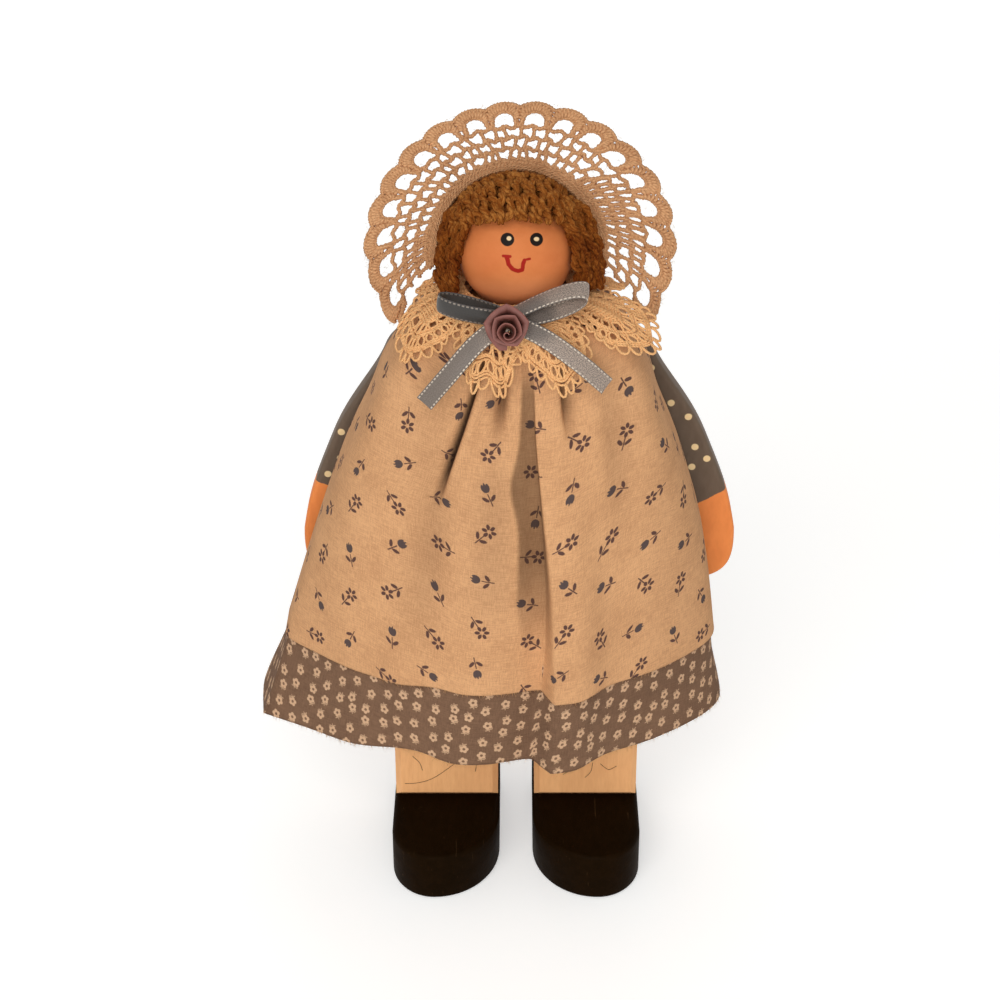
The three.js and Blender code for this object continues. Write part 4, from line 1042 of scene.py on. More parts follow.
def dress_surface(turn, row, layer="dress"):
    """Rings of the dress: turn goes round from the front, row from the neck edge down to the hem. The
    apron is a gathered layer that stays clear of the board, (a + sqrt(a^2 + 1)) / 2 with a the height
    above it; the dress is pressed in below the apron; the plain layer has no folds."""
    knots = np.arange(len(DRESS_ROWS))
    drop, side, off, left, right, lean, swing = through(knots, DRESS_ROWS, row).transpose(2, 0, 1)
    below = np.clip(drop, 0, SHOULDER_HEIGHT) / SHOULDER_HEIGHT
    slope = np.sqrt(1 - (1 - below) ** 2)
    side = NECK_HALF_WIDTH + (BOARD_HALF_WIDTH - NECK_HALF_WIDTH) * slope + side
    front = BOARD_HALF_DEPTH + off
    flare = 0.34 * np.maximum(0, drop - FLARE_DROP)
    opened = smooth(0, 1, row)
    back = DRESS_NECK_RADIUS + (DRESS_BACK + flare - DRESS_NECK_RADIUS) * opened
    behind = 2 + (np.maximum(3, 16 - flare) - 2) * opened
    out, slide = 0 * turn, 0
    if layer == "apron":
        out, slide, _ = gathers(turn, drop)
        above = out + fold(turn, drop) + np.clip(off - 2, 0, None)
        out = (above + np.sqrt(above**2 + 1)) / 2 - np.clip(off - 2, 0, None)
    if layer == "dress":
        covered = smooth(1.6, 1.2, np.abs(turn)) * smooth(-1, 12, drop) * smooth(122, 95, drop)
        out = fold(turn, drop) * (1 - covered) - covered * np.clip(off - 1.2, 0, 11)
    angle, radius = ring(turn + slide, side, front, back, left, right, behind)
    radius = radius + out
    forward = swing * smooth(0, 1, -np.sin(turn)) * smooth(-0.7, 0, np.cos(turn))
    sag = 1.5 * smooth(SHOULDER_HEIGHT, HEM_DROP, drop) * bump(turn, 0.36, 0.19)
    sag = sag - 2.4 * smooth(APRON_DROP, HEM_DROP, drop) * bump(turn, -0.7, 0.35)
    x, y = radius * np.sin(angle) - lean, -radius * np.cos(angle) - forward
    return np.stack([x, y, TORSO_TOP - drop - sag], -1)


def normals(points):
    """Outward unit normals of a grid: the row direction crossed with the column direction."""
    return unit(np.cross(np.gradient(points, axis=0), np.gradient(points, axis=1)))


def even_rows(last, count):
    """Row numbers from the neck edge to the last row, about evenly spaced down the cloth."""
    knots = np.arange(last + 1)
    reach = np.maximum(np.diff(DRESS_ROWS[: last + 1, 0]), 6)
    share = np.insert(np.cumsum(reach), 0, 0) / reach.sum()
    return np.interp(np.linspace(0, 1, count), share, knots)[:, None]


def cloth_uv(points):
    """Texture place in millimetres: length along each row from the middle column, and length up each
    column."""
    across = lengths(points, 1)
    centre = points.shape[1] // 2
    return np.stack([across - across[:, centre : centre + 1], -lengths(points, 0)], -1)


def dress_shape():
    """All rings of the dress, closed at the back."""
    turn = np.linspace(-np.pi, np.pi, DRESS_COLUMNS)[None]
    points = dress_surface(turn, even_rows(HEM_ROW, DRESS_STEPS))
    points[:, -1] = points[:, 0]
    return grid(points[:, :-1], cloth_uv(points), wrap=True)


def apron_points():
    """The apron lies over the front of the dress, with its columns closer together near the middle, at
    0.6 a + 0.4 a^3. Returns its places, those of the same cloth without folds, and the painted shade of
    each place."""
    across = np.linspace(-1, 1, APRON_COLUMNS)[None]
    turn = APRON_HALF_TURN * (0.6 * across + 0.4 * across**3)
    row = even_rows(APRON_LAST_ROW, APRON_STEPS)
    plain = dress_surface(turn, row, "plain")
    points = dress_surface(turn, row, "apron") + APRON_LIFT * normals(plain)
    drop = through(np.arange(len(DRESS_ROWS)), DRESS_ROWS[:, 0], row)
    return points, plain, gathers(turn, drop)[2]


def apron_shape():
    """The apron, its print measured along the folded cloth and down the plain one."""
    points, plain, closed = apron_points()
    uv = np.stack([cloth_uv(points)[..., 0], cloth_uv(plain)[..., 1]], -1)
    return *grid(points, uv), closed


# Lace


def collar_surface(turn, across, out):
    """Ring of lace from the neck outwards: rolled over, lower in front, in lobes, and notched beside the
    hat. across is the place on a fan, from -0.5 to 0.5, and out goes from 0 at the neck to 1 at the
    edge."""
    facing = np.maximum(0, np.cos(turn))
    behind = np.maximum(0, -np.cos(turn))
    wrapped = np.abs((turn + np.pi) % (2 * np.pi) - np.pi)
    reach = np.clip(out, 0.001, None)
    reach = reach * (1 - 0.58 * bump(wrapped, 1.92, 0.4) * reach)
    lobe = 2.4 * out**2 * facing * np.cos(2 * np.pi * across)

    def spread(way, power):
        return COLLAR_NECK_RADIUS + (COLLAR_REACH[way] - COLLAR_NECK_RADIUS) * reach**power

    side, front, back = spread("side", 1), spread("front", 0.7), spread("back", 0.6)
    angle, radius = ring(turn, side, front, back, 2 + reach, 2 + reach, 2 + 2 * reach)
    radius = radius + lobe
    side_drop = np.where(turn < 0, COLLAR_DROP["left"], COLLAR_DROP["right"])
    drop = side_drop * np.sin(turn) ** 2 + COLLAR_DROP["front"] * facing**2
    drop = drop + COLLAR_DROP["corner"] * (2 * np.sin(turn) * facing) ** 2
    drop = drop + COLLAR_DROP["back"] * behind**2
    height = TORSO_TOP + COLLAR_NECK_RISE - drop * reach**2.45
    return np.stack([radius * np.sin(angle) + COLLAR_SHIFT * reach**2, -radius * np.cos(angle), height], -1)


def lace_place(fan, across, down):
    """A place on one fan of the lace, in millimetres across and down from the middle of its neck edge, on
    the collar. Fans are counted from the middle of the front, where they crowd together:
    p - crowding tanh(2 p) (1 - (2 p / n)^2)."""
    middle = fan + 0.5 - LACE_FANS / 2
    middle = middle - LACE_CROWDING * np.tanh(2 * middle) * (1 - (2 * middle / LACE_FANS) ** 2)
    share = across / LACE_SPREAD
    return collar_surface(2 * np.pi * (middle + share) / LACE_FANS, share, down / LACE_WIDTH)


def lace_threads():
    """Paths of one fan, in millimetres across and down: cords round its edge, a woven disc with its rim,
    thick spokes round it, ties between the cords, picots at the edge, and a net beside the neck. Each
    group is (threads, steps, 2), and the whole fan is pulled a little out of shape."""
    centre = np.array([0.0, LACE_CENTRE])

    def polar(radius, angle):
        return centre + np.stack([radius * np.sin(angle), radius * np.cos(angle)], -1)

    wide = np.linspace(-LACE_HALF_ANGLE, LACE_HALF_ANGLE, 65)[None]
    t = np.linspace(0, 1, 9)[None]
    cords = np.array([[8.6], [9.1], [9.6], [11.9], [12.4], [12.9]])
    groups = [polar(cords, wide)]
    row = np.linspace(-5, 5, 12)[:, None]
    chord = np.sqrt(30 - row**2) * (2 * t - 1)
    groups.append(centre + np.stack([row + 0 * chord, chord], -1))
    groups.append(centre + np.stack([chord, row + 0 * chord], -1))
    rim = np.array([[5.4], [5.9]])
    groups.append(polar(rim + 0 * wide, wide * np.pi / LACE_HALF_ANGLE))
    spokes = np.linspace(-np.pi, np.pi, 16, endpoint=False)[:, None]
    for lean in (-1, 1):
        groups.append(polar(5.6 + 3.2 * t, spokes + lean * (0.035 + 0.06 * (1 - np.sin(np.pi * t)))))
    ties = np.linspace(-2.1, 2.1, 22)[:, None]
    for lean in (-1, 1):
        groups.append(polar(9.6 + 2.4 * t, ties + lean * (0.02 + 0.06 * (2 * t - 1) ** 2)))
    picots = np.linspace(-2.05, 2.05, 22)[:, None]
    groups.append(polar(12.8 + 2.0 * np.sin(np.pi * t), picots - 0.092 * np.cos(np.pi * t)))
    half = LACE_SPREAD / 2
    bars = np.linspace(-half, half, 23)[:, None]
    for lean in (-1, 1):
        groups.append(np.stack([bars + lean * 2.4 * t, 0.5 + 8.4 * t + 0 * bars], -1))
    level = np.array([[0.2], [0.9], [1.6], [3.6], [5.6], [7.6]])
    run = np.linspace(-half, half, 49)[None]
    groups.append(np.stack([run + 0 * level, level + 0.2 * np.sin(run * 1.7 + level)], -1))
    warp = chance.normal(0, 0.5, (2, 2))
    moved = []
    for path in groups:
        x, y = np.moveaxis(path + chance.normal(0, 0.08, path.shape[:1] + (1, 2)), -1, 0)
        x = x + warp[0, 0] * np.sin(0.45 * y) + warp[0, 1] * np.sin(0.6 * x + 1)
        y = y + (warp[1, 0] * np.sin(0.5 * x) + warp[1, 1] * np.sin(0.7 * x + 2)) * smooth(0, 6, y)
        moved.append(np.stack([x, y], -1))
    return moved


def lace_shape(fans):
    """Threads of these fans laid on the collar, each a round thread that lies a little proud of the one
    that it crosses."""
    shapes = []
    for fan in fans:
        for order, group in enumerate(lace_threads()):
            paths = lace_place(fan, group[..., 0], np.clip(group[..., 1], 0, 1.08 * LACE_WIDTH))
            outward = unit(paths - [0, 0, TORSO_TOP - 45])
            paths = paths + outward * (0.25 * (order % 3) + 0.3 * np.sin(group[..., :1] * 1.1 + 2 * fan))
            shapes.append(tubes(paths, LACE_THREAD, 6, outward))
    return joined(shapes)


# Ribbon


def strip(path, across, width, steps):
    """A ribbon along a path, its width along across, with a slight hollow:
    path + width s across + hollow (4 s^2 - 1) face. Its texture place is millimetres along it, and 0 to 1
    across."""
    knots, at = np.linspace(0, 1, len(path)), np.linspace(0, 1, steps)
    points = through(knots, path, at)
    lean = unit(through(knots, np.broadcast_to(across, np.shape(path)), at))
    side = np.linspace(-0.5, 0.5, RIBBON_COLUMNS)[None, :, None]
    face = unit(np.cross(np.gradient(points, axis=0), lean))[:, None]
    sheet = points[:, None] + width * side * lean[:, None] + RIBBON_HOLLOW * (4 * side**2 - 1) * face
    run = np.broadcast_to(lengths(points, 0)[:, None], sheet.shape[:2])
    return grid(sheet, np.stack([run, np.broadcast_to(side[..., 0] + 0.5, run.shape)], -1))


def bow_loop(reach, rise, swing, lean):
    """Teardrop loop that leaves the knot, swells and comes back to it: out = (1 + cos a) / 2, with a
    swell of 0.7 a / pi + 3.6 sin a sqrt(out). swing is where the swell goes: depth and height."""
    turn = np.linspace(-np.pi, np.pi, LOOP_STEPS)
    out = (1 + np.cos(turn)) / 2
    swell = 0.7 * turn / np.pi + 3.6 * np.sin(turn) * np.sqrt(out)
    long = abs(reach) * out
    path = np.stack([reach * out, swell * swing[0] + 0.12 * long, rise * long + swell * swing[1]], -1)
    return strip(BOW + path, lean, RIBBON_WIDTH, steps=90)


def left_loop():
    """An upright loop, in a darker copy of the satin that is painted shade."""
    return bow_loop(reach=-22.5, rise=0.2, swing=(1, 0.1), lean=(0.1, -0.24, 1))


def bow_tails():
    """The right loop, which opens ahead and tips up less as it goes round, two tails and the knot."""
    left_tail = BOW + np.array([(-1, -0.6, -1), (-10, -5, -6.5), (-19, -8.5, -16), (-27.3, -7.5, -27)])
    right_tail = BOW + np.array([(1, -0.6, -1), (12, -5, -5), (23, -8.5, -12), (31.9, -7.5, -20.7)])
    left = strip(left_tail, (26, 0, -26.3), RIBBON_WIDTH, steps=60)
    right = strip(right_tail, (19.7, 0, 30.9), RIBBON_WIDTH, steps=60)
    angle = np.linspace(0, 2 * np.pi, 13)
    knot_path = BOW + np.stack([0 * angle, 2.4 * np.sin(angle), 2.9 * np.cos(angle)], -1)
    knot = strip(knot_path, (1, 0, 0), width=5.5, steps=50)
    turned_up = 0.4 + 0.55 * np.linspace(1, 0, LOOP_STEPS)
    loop_lean = np.stack([0.12 + 0 * turned_up, 1 + 0 * turned_up, turned_up], -1)
    loop = bow_loop(reach=25.5, rise=0.29, swing=(0.2, 0.85), lean=loop_lean)
    return joined([loop, left, right, knot])


def rose_shape():
    """A ribbon rolled into a spiral: radius grows with the turn, the outer turns have corners, the lip
    rolls outward, and the inner turns sit lower."""
    along = np.linspace(0, 1, 560)[:, None]
    up = np.linspace(0, 1, 17)[None]
    turn = 2 * np.pi * ROSE_TURNS * along + 0.9
    share = 2 * np.pi / ROSE_SIDES
    sided = np.cos(share / 2) / np.cos(turn % share - share / 2)
    corner = 1 + 0.55 * (1.12 * sided - 1) * smooth(0.1, 0.6, along)
    radius = 0.5 + 6.5 * along**0.95
    lip = 0.8 * along * np.maximum(0, up - 0.6) ** 1.3 * 4
    open_radius = radius * corner * (0.34 + 0.66 * up**0.85) + lip
    height = (4.2 + 1.6 * (1 - along) ** 0.8) * up - 2.4 * along * np.maximum(0, up - 0.7) ** 1.5 * 4
    sink = 2.9 * (1 - along) ** 1.2
    x, y = open_radius * np.cos(turn), -height - 0.4
    z = open_radius * np.sin(turn) - sink + 0 * up
    c, s = np.cos(ROSE_LEAN), np.sin(ROSE_LEAN)
    points = np.stack([x, y * c + z * s, z * c - y * s], -1) + BOW + [0, -3, -1]
    run = np.broadcast_to(lengths(points[:, 8:9], 0), points.shape[:2])
    return grid(points, np.stack([run, np.broadcast_to(up, run.shape)], -1))


# Hair


def combed(across, start, end, layer):
    """Strands combed over the ball in planes across it: y = -p sin f, z = p cos f, with f going from
    start to end, in degrees from the top to the front, and p the plane's circle. layer is how far out
    they lie."""
    t = np.linspace(0, 1, HAIR_STEPS)[None]
    angle = np.radians(start + (np.asarray(end)[:, None] - start) * t)
    radius = HAIR_OUTER - 2.0 + layer + HAIR_SWELL * np.sin(np.pi * t)
    aside = np.minimum(np.abs(across), HAIR_HALF_WIDTH)[:, None]
    circle = np.sqrt(np.maximum(radius**2 - aside**2, HAIR_LEAST_RADIUS**2))
    return np.stack([across[:, None] + 0 * t, -circle * np.sin(angle), circle * np.cos(angle)], -1)


def lock(near, far, count, back):
    """Strands beside the face, spread from the near curve to the far one, and moved back by some
    millimetres."""
    spread = np.linspace(0, 1, count)[None, :, None]
    curves = np.array(near)[:, None] * (1 - spread) + np.array(far)[:, None] * spread + [0, back, 0]
    curves = curves + chance.normal(0, 0.5, curves.shape)
    knots, at = np.linspace(0, 1, len(near)), np.linspace(0, 1, HAIR_STEPS)
    paths = through(knots, curves.reshape(len(near), -1), at)
    return paths.reshape(HAIR_STEPS, count, 3).transpose(1, 0, 2)


def crimped(paths, curl):
    """Strands with a slow wave to the side and a finer crimp to the side and outward:
    a sin(2 pi length / wave + phase), let in over the first 8 millimetres."""
    _, side, lift = thread_frame(paths, unit(paths))
    run = lengths(paths, 1)[..., None]
    turns = 2 * np.pi * run
    phase = chance.uniform(0, 2 * np.pi, (3, len(paths), 1, 1))
    slow = curl * np.sin(turns / 15 + phase[0]) * side
    fine = 0.4 * np.sin(turns / 6.1 + phase[1]) * side + 0.5 * np.cos(turns / 7.3 + phase[2]) * lift
    return paths + smooth(0, 8, run) * (slow + fine)


def hair_shape(strands, curl):
    """Twisted yarn: two plies wound round every strand, thinner at its ends, with stray fibres."""
    shapes = []
    for paths in strands:
        paths = crimped(paths, curl)
        out = unit(paths)
        phase = chance.uniform(0, 2 * np.pi, (len(paths), 1, 1))
        plies = wound(paths, PLY_REACH, PLY_PITCH, 2, out, phase)
        outs = np.concatenate([out] * 2)
        steps = np.linspace(0, 1, HAIR_STEPS)
        taper = 0.5 + 0.5 * np.minimum(1, np.minimum(steps, 1 - steps) / 0.04)
        shapes.append(tubes(plies, PLY_RADIUS * taper, 8, outs))
        pick = chance.integers(0, HAIR_STEPS, (16, len(plies)))
        roots = plies[np.arange(len(plies)), pick].reshape(-1, 3)
        away = outs[np.arange(len(plies)), pick].reshape(-1, 3)
        shapes.append(fuzz(roots + 0.8 * away, away, length=2.6, spread=1.1))
    return on_head(shapes)


def fringe_strands():
    """Strands over the brow: a front layer that ends at one height, one behind it, and a few more on the
    right."""
    across = np.linspace(-17.5, 13, 13)
    end = np.degrees(np.arccos(np.clip(FRINGE_FOOT / np.sqrt(FRINGE_RADIUS**2 - across**2), -1, 1)))
    return [
        combed(across, -22, end + chance.uniform(-3, 3, 13), layer=0.9),
        combed(np.linspace(-18.5, 18.5, 14), -22, np.full(14, 56.0), layer=-1.2),
        combed(np.linspace(14, 20.5, 5), -18, np.full(5, 48.0), layer=0.4),
    ]


def side_strands(curves):
    """A front and a back layer beside the face."""
    return [lock(*curves, count=7, back=0), lock(*curves, count=6, back=3.2)]


def nape_strands():
    """Strands down the back of the head, and two on each side of it."""
    return [
        combed(np.linspace(-17, 17, 13), -30, -92 + chance.uniform(-4, 4, 13), layer=0.0),
        combed(np.array([-23.0, -20.5, 20.5, 23.0]), -18, np.full(4, -80.0), layer=0.4),
    ]


# Hat


def brim(across, out):
    """Openwork brim: across 0 to 1 round the face from right to left, out in millimetres from the crown's
    rim. Its ends curl back."""
    share = out / HAT_BRIM
    span = HAT_INNER_SPAN + (HAT_OUTER_SPAN - HAT_INNER_SPAN) * share
    turn = np.pi / 2 + span * (across - 0.5)
    radius = HAT_RADIUS + out
    wider = 0.045 * share**2 * smooth(-0.5, 0.1, np.sin(turn))
    x = radius * np.cos(turn) * (1 + wider) + HAT_SHIFT * share
    z = radius * np.sin(turn) - HAT_DIP * share
    curl = HAT_CURL * smooth(HAT_CURL_FROM, HAT_OUTER_SPAN / 2, np.abs(turn - np.pi / 2))
    return np.stack([x, HAT_BACK + share * (curl + 1.2 * np.cos(7 * turn)), z], -1)


def crown(across, back):
    """Dome behind the rim, a quarter ellipse carried round: back 0 at the rim, 1 at the pole."""
    turn = np.pi / 2 + HAT_INNER_SPAN * (across - 0.5)
    lift = back * np.pi / 2
    radius = HAT_RADIUS * np.cos(lift)
    depth = HAT_BACK + HAT_CROWN_DEPTH * np.sin(lift)
    return np.stack([radius * np.cos(turn), depth + 0 * turn, radius * np.sin(turn)], -1)


def crochet_posts(surface, across, lean, start, end):
    """Upright stitches between two rows of a surface: paths from (across, start) to
    (across + lean, end)."""
    t = np.linspace(0, 1, POST_STEPS)[None]
    there = np.asarray(across)[:, None] + np.asarray(lean) * t
    return surface(there, start + (end - start) * t)


def yarn_tubes(paths, radius, pitch=2.6):
    """Two strands twisted together, facing along the head's own axis. radius is a number or one for each
    step."""
    reach = 0.5 * np.reshape(radius, (-1, 1))
    strands = wound(paths, reach, pitch, 2, AHEAD, chance.uniform(0, 6))
    return tubes(strands, 0.72 * radius, 6, AHEAD)


def scallop_band():
    """Scalloped edge: short stitches fan out over one D-shaped hole each, between a rope round the hole
    and a rope along the edge. Places are millimetres across from the middle of the scallop and out from
    the crown's rim."""
    middles = (np.arange(HAT_SCALLOPS) + 0.5)[:, None, None]

    def place(x, out):
        return brim((middles + x / SCALLOP_WIDTH) / HAT_SCALLOPS, out + 0 * middles)

    fan = np.radians(np.linspace(-64, 64, 15))[:, None]
    s = np.linspace(0, 1, 7)[None]
    inner = HOLE_HALF_WIDTH + 0.2 * np.cos(fan)
    height = HAT_BRIM - SCALLOP_FOOT - 1.1 * np.sin(fan) ** 2
    outer = np.minimum(height, 4.9 / np.maximum(np.abs(np.sin(fan)), 0.1))
    reach = inner + (outer - inner) * s
    bent = fan + 0.16 * (s - 0.5)
    stitches = place(reach * np.sin(bent), SCALLOP_FOOT + reach * np.cos(bent))
    stitches = stitches + 0.55 * AHEAD * np.sin(np.pi * s)[..., None]
    paths = stitches.reshape(-1, 7, 3) + chance.normal(0, 0.08, (len(fan) * HAT_SCALLOPS, 1, 3))
    turn = np.linspace(-np.pi / 2, np.pi / 2, 25)[None]
    hole = place(HOLE_HALF_WIDTH * np.sin(turn), SCALLOP_FOOT + HOLE_HEIGHT * np.cos(turn))[:, 0]
    wide = np.linspace(-1, 1, 25)[None]
    edge = place(SCALLOP_WIDTH / 2 * wide, HAT_BRIM - 0.4 - 1.6 * wide**2)[:, 0]
    body = 0.5 + 0.22 * np.sin(np.pi * s[0])
    return [tubes(paths, body, 6, AHEAD), yarn_tubes(hole, 0.62, 1.8), yarn_tubes(edge, 0.72, 1.8)]


def close_stitches(across, row):
    """Where the net has an extra stitch in each hole: along the right, lower down in the outer rows, and
    low on the left."""
    right = (across > 0.1 - 0.02 * row) & (across < 0.33 - 0.035 * row)
    left = (across > 0.86 + 0.02 * row) & (across < 0.95)
    return right | left


def brim_shape():
    """Crochet in rows: close ridges at the rim, staggered net rows with rounded holes, and splayed feet
    that carry the scalloped edge."""
    shapes = []
    cells = 2 * HAT_SCALLOPS
    round_it = np.linspace(0, 1, 12 * cells + 1)
    for out in HAT_RIDGES:
        uneven = out + 0.1 * np.sin(round_it[None] * 150 + out)
        shapes.append(yarn_tubes(brim(round_it[None], uneven), 0.62))
    band = np.linspace(0.003, 0.997, 84)
    shapes.append(yarn_tubes(crochet_posts(brim, band, 0.004, 0.1, 3.1) + [0, 0.45, 0], 0.75))
    posts_body = 0.58 + 0.32 * np.abs(np.linspace(-1, 1, POST_STEPS)) ** 1.5
    for row, out in enumerate(HAT_NET_ROWS):
        wander = through(np.linspace(0, 1, 50), chance.normal(0, 0.25, 50), round_it)
        wave = wander - 0.42 * np.cos(2 * np.pi * (cells * round_it - 0.5 * (row % 2)))
        shapes.append(yarn_tubes(brim(round_it[None], (out + wave)[None]), 0.66))
        if row:
            across = (np.arange(cells) + 0.25 + 0.5 * (row % 2)) / cells + chance.normal(0, 0.0026, cells)
            lean = chance.normal(0, 0.005, (cells, 1))
            below = HAT_NET_ROWS[row - 1]
            shapes.append(yarn_tubes(crochet_posts(brim, across, lean, below, out), posts_body))
            between = across[close_stitches(across, row)] + 0.5 / cells
            shapes.append(yarn_tubes(crochet_posts(brim, between, 0.002, below, out), 1.15 * posts_body))
    for side in (-1, 1):
        feet = np.arange(HAT_SCALLOPS + 1) + 0.06 * side
        across = feet / HAT_SCALLOPS + chance.normal(0, 0.0012, len(feet))
        splay = 0.11 * side / HAT_SCALLOPS
        shapes.append(yarn_tubes(crochet_posts(brim, across, splay, HAT_NET_ROWS[-1], 20.2), 0.92))
    shapes.extend(scallop_band())
    return on_head(shapes)


def crown_shape():
    """Rows of upright stitches over the back of the head, with a ring of yarn between rows, drawn in at
    the pole."""
    shapes = []
    levels = np.linspace(0, 0.93, 8)
    for low, high in zip(levels[:-1], levels[1:]):
        count = int(70 * np.cos(low * np.pi / 2)) + 8
        posts = (np.arange(count) + 0.5) / count
        shapes.append(yarn_tubes(crochet_posts(crown, posts, 0.25 / count, low, high), 0.85))
        shapes.append(yarn_tubes(crown(np.linspace(0, 1, 160)[None], np.full((1, 160), high)), 0.8))
    shapes.append(yarn_tubes(crown(np.array([[0.0], [0.5]]), np.linspace(0.9, 1.0, 8)[None]), 0.9))
    return on_head(shapes)


def hat_fuzz_shape():
    """Stray fibres of the hat's yarn, more of them on the scalloped edge."""
    inner = chance.uniform(0, 1, HAT_FIBRES) < 0.5
    near = chance.uniform(0, HAT_EDGE_FROM, HAT_FIBRES)
    out = np.where(inner, near, chance.uniform(HAT_EDGE_FROM, HAT_BRIM, HAT_FIBRES))
    roots = brim(chance.uniform(0, 1, HAT_FIBRES), out)
    return on_head([fuzz(roots, AHEAD, length=1.7, spread=1.2, radius=0.045)])


# Loose threads


def fray_shape(edge, down, length, count):
    """Short fibres that start anywhere along a cut edge of cloth, hanging and splayed."""
    place = chance.uniform(0, len(edge) - 1.001, count)
    i = place.astype(int)
    part = (place - i)[:, None]
    roots = edge[i] * (1 - part) + edge[i + 1] * part
    return fuzz(roots, np.asarray(down), length, spread=0.35, radius=0.06)


def leg_threads():
    """Ends of thread pulled from the hem that lie on the front of the legs."""
    t = np.linspace(0, 1, LEG_THREAD_STEPS)
    shapes = []
    for knots in LEG_THREADS:
        x, z = through(np.linspace(0, 1, len(knots)), np.array(knots, float), t).T
        path = np.stack([x, np.full(LEG_THREAD_STEPS, -BOARD_HALF_DEPTH - 0.25), z], -1)
        shapes.append(tubes(path[None], LEG_THREAD_RADIUS, 4, AHEAD))
    return joined(shapes)


# Wood and fasteners

black = black_paint()
steel = screw_steel()
for label, side in SIDES.items():
    arm = f"{label}_arm"
    piece(f"{label}_shoe_painted", shoe_shape(side), black, "black_paint", stands_for=[f"{label}_shoe"])
    piece(f"{arm}_painted", arm_shape(label), arm_paint(label), "arm_paint", arm, [arm])
    for fastener in ("arm_screw", "arm_washer", "shoe_screw_front", "shoe_screw_rear"):
        repaint(f"{label}_{fastener}", steel)
repaint("body_block", cream_paint())
repaint("neck_dowel", bare_wood())
piece("painted_head", ball_shape(), face_paint(), "skin_paint", stands_for=["head_ball"])

# Clothes

cloth = {"thickness": CLOTH_THICKNESS}
dress = piece("calico_dress", dress_shape(), calico(), "calico", stands_for=["dress"], **cloth)
apron = piece("muslin_apron", apron_shape(), muslin(), "muslin", stands_for=["apron"], **cloth)
lace_yarn = thread("lace_thread", colour(250, 197, 138), colour(222, 164, 108), pitch=1.1)
for label, fans in (("left", range(LACE_FANS // 2)), ("right", range(LACE_FANS // 2, LACE_FANS))):
    piece(f"crochet_lace_{label}", lace_shape(fans), lace_yarn, "lace", stands_for=["lace_collar"])

satin = ribbon_satin("ribbon_satin", colour(92, 82, 74), colour(172, 153, 138), colour(208, 194, 176))
# Painted shade: the left loop wears a darker copy of the satin.
shaded_satin = ribbon_satin("ribbon_painted_shade", colour(37, 33, 30), colour(65, 59, 54), colour(140, 128, 116))
ribbon = {"thickness": RIBBON_THICKNESS}
piece("satin_tails", bow_tails(), satin, "ribbon", stands_for=["ribbon_bow"], **ribbon)
piece("shaded_loop", left_loop(), shaded_satin, "ribbon", **ribbon)
piece("satin_rose", rose_shape(), rose_satin(), "rose_ribbon", stands_for=["ribbon_rose"], **ribbon)

# Hair and hat; each node's hair is its strands and how wide they wave

brown = hair_yarn()
hair = {
    "hair_fringe": (fringe_strands(), 0.7),
    "hair_left": (side_strands(LEFT_LOCK), 1.0),
    "hair_right": (side_strands(RIGHT_LOCK), 1.0),
    "hair_back": (nape_strands(), 0.6),
}
for node, (strands, curl) in hair.items():
    piece(f"{node}_yarn", hair_shape(strands, curl), brown, "yarn", stands_for=[node])

hat_yarn = thread("hat_yarn", colour(225, 173, 126), colour(172, 122, 83), pitch=1.5, roughness=0.95)
piece("bonnet_brim", brim_shape(), hat_yarn, "crochet", stands_for=["crochet_hat"])
piece("bonnet_crown", crown_shape(), hat_yarn, "crochet", stands_for=["crochet_hat"])
piece("bonnet_fuzz", hat_fuzz_shape(), hat_yarn, "crochet")

# Frayed hems and loose threads

hem = dress_surface(np.linspace(-np.pi, np.pi, HEM_POINTS)[None], np.array([[float(HEM_ROW)]]))[0]
piece("dress_fray", fray_shape(hem, (0, 0, -1), length=2.2, count=700), lace_yarn, "calico")
apron_hem = apron_points()[0][-1]
piece("apron_fray", fray_shape(apron_hem, (0, -0.3, -1), length=1.6, count=160), lace_yarn, "muslin")
loose = thread("loose_thread", colour(140, 96, 66), colour(96, 62, 42), pitch=0.8)
pulled = fray_shape(apron_hem, (0.5, -0.5, -0.5), length=6.5, count=34)
piece("apron_loose_threads", pulled, loose, "muslin")
piece("leg_threads", leg_threads(), loose, "calico")


# Floor, light and camera


def pale_floor():
    """Pale floor that glows for the camera and for mirrors until it looks white, and keeps the doll's
    shadow."""
    finish = Finish("pale_floor")
    rays = finish.node("LightPath").socket.node.outputs
    camera, mirror, clear = (
        Shade(finish, rays[f"Is {kind} Ray"]) for kind in ("Camera", "Glossy", "Transmission")
    )
    glow = camera.most(mirror).most(clear)
    x, y, _ = finish.split(finish.place("Object"))
    far = (x * x + y * y).between(0.2, 1.6)
    shown = finish.mix(far, (0.41, 0.41, 0.41, 1.0), (0.62, 0.62, 0.62, 1.0))
    return finish.set(
        Base_Color=colour(236, 235, 232),
        Roughness=0.9,
        Specular_IOR_Level=0.1,
        Emission_Color=finish.mix(glow, (0.0, 0.0, 0.0, 1.0), shown),
        Emission_Strength=1.0,
    )


def floor():
    """A wide disc under the doll."""
    angle = np.linspace(0, 2 * np.pi, FLOOR_CORNERS, endpoint=False)
    rim = np.stack([np.cos(angle), np.sin(angle), 0 * angle], -1) * FLOOR_RADIUS
    mesh = bpy.data.meshes.new("floor")
    mesh.from_pydata(rim * MM, [], [list(range(FLOOR_CORNERS))])
    mesh.materials.append(pale_floor())
    add_object("floor", mesh)


def look_along(made, direction):
    """Turns a lamp or a camera to look along a direction, upright."""
    made.rotation_mode = "QUATERNION"
    made.rotation_quaternion = Vector(direction).to_track_quat("-Z", "Y")


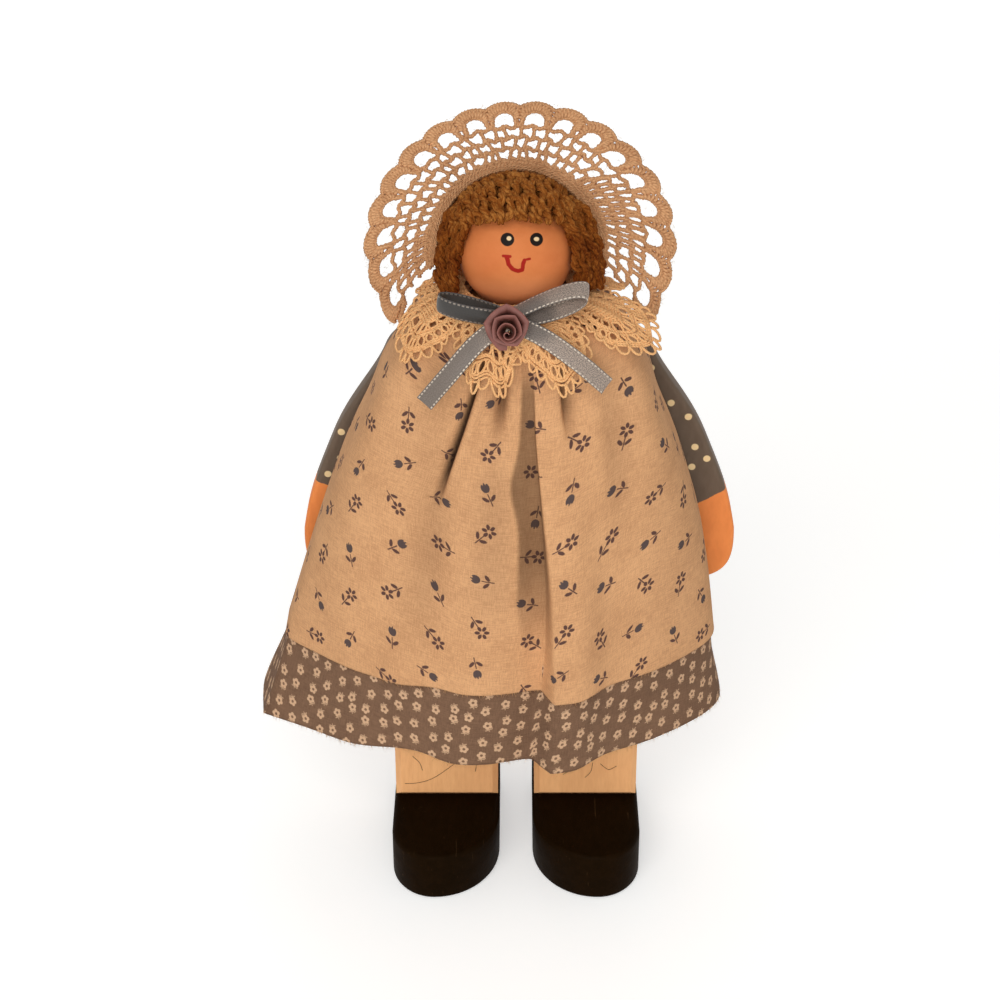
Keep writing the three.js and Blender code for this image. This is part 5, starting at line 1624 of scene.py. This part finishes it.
def lamp(name, place, power):
    """A square soft lamp that faces the doll, with its place in millimetres and its power in watts."""
    data = bpy.data.lights.new(name, "AREA")
    data.size = LAMP_SIZE * MM
    data.energy = power
    made = add_object(name, data)
    made.location = (np.array(place) + MIDDLE) * MM
    look_along(made, Vector((MIDDLE + [0, 0, LAMP_AIM_HEIGHT]) * MM) - made.location)


def studio():
    """Even grey surroundings, white to the camera and to mirrors."""
    world = bpy.data.worlds.new("studio")
    world.use_nodes = True
    tree = world.node_tree
    path = tree.nodes.new("ShaderNodeLightPath")
    seen = path.outputs["Is Camera Ray"]
    for name in ("Is Glossy Ray", "Is Transmission Ray"):
        most = tree.nodes.new("ShaderNodeMath")
        most.operation = "MAXIMUM"
        tree.links.new(seen, most.inputs[0])
        tree.links.new(path.outputs[name], most.inputs[1])
        seen = most.outputs[0]
    level = tree.nodes.new("ShaderNodeMapRange")
    level.inputs["To Min"].default_value = 0.42
    level.inputs["To Max"].default_value = 1.0
    tree.links.new(seen, level.inputs["Value"])
    tree.nodes["Background"].inputs["Color"].default_value = (1.0, 1.0, 1.0, 1.0)
    tree.links.new(level.outputs["Result"], tree.nodes["Background"].inputs["Strength"])
    bpy.context.scene.world = world


def photo_camera():
    """Camera at the photograph's rise, distance and framing."""
    data = bpy.data.cameras.new("camera")
    data.sensor_width = SENSOR_WIDTH
    data.lens = FOCAL_PIXELS * SENSOR_WIDTH / PICTURE
    data.shift_x = (PICTURE / 2 - MIDDLE_PIXEL) / PICTURE
    data.clip_start = 0.01
    back = np.array([0, -np.cos(CAMERA_RISE), np.sin(CAMERA_RISE)])
    made = add_object("camera", data)
    made.location = (MIDDLE + [0, 0, AIM_HEIGHT] + back * CAMERA_DISTANCE) * MM
    look_along(made, -back)
    bpy.context.scene.camera = made


floor()
studio()
lamp("key", (-260, -950, 800), 6.5)
lamp("fill", (180, -1150, 150), 4.8)
lamp("rear", (0, 900, 800), 3.0)
photo_camera()
bpy.context.scene.view_settings.view_transform = "Standard"
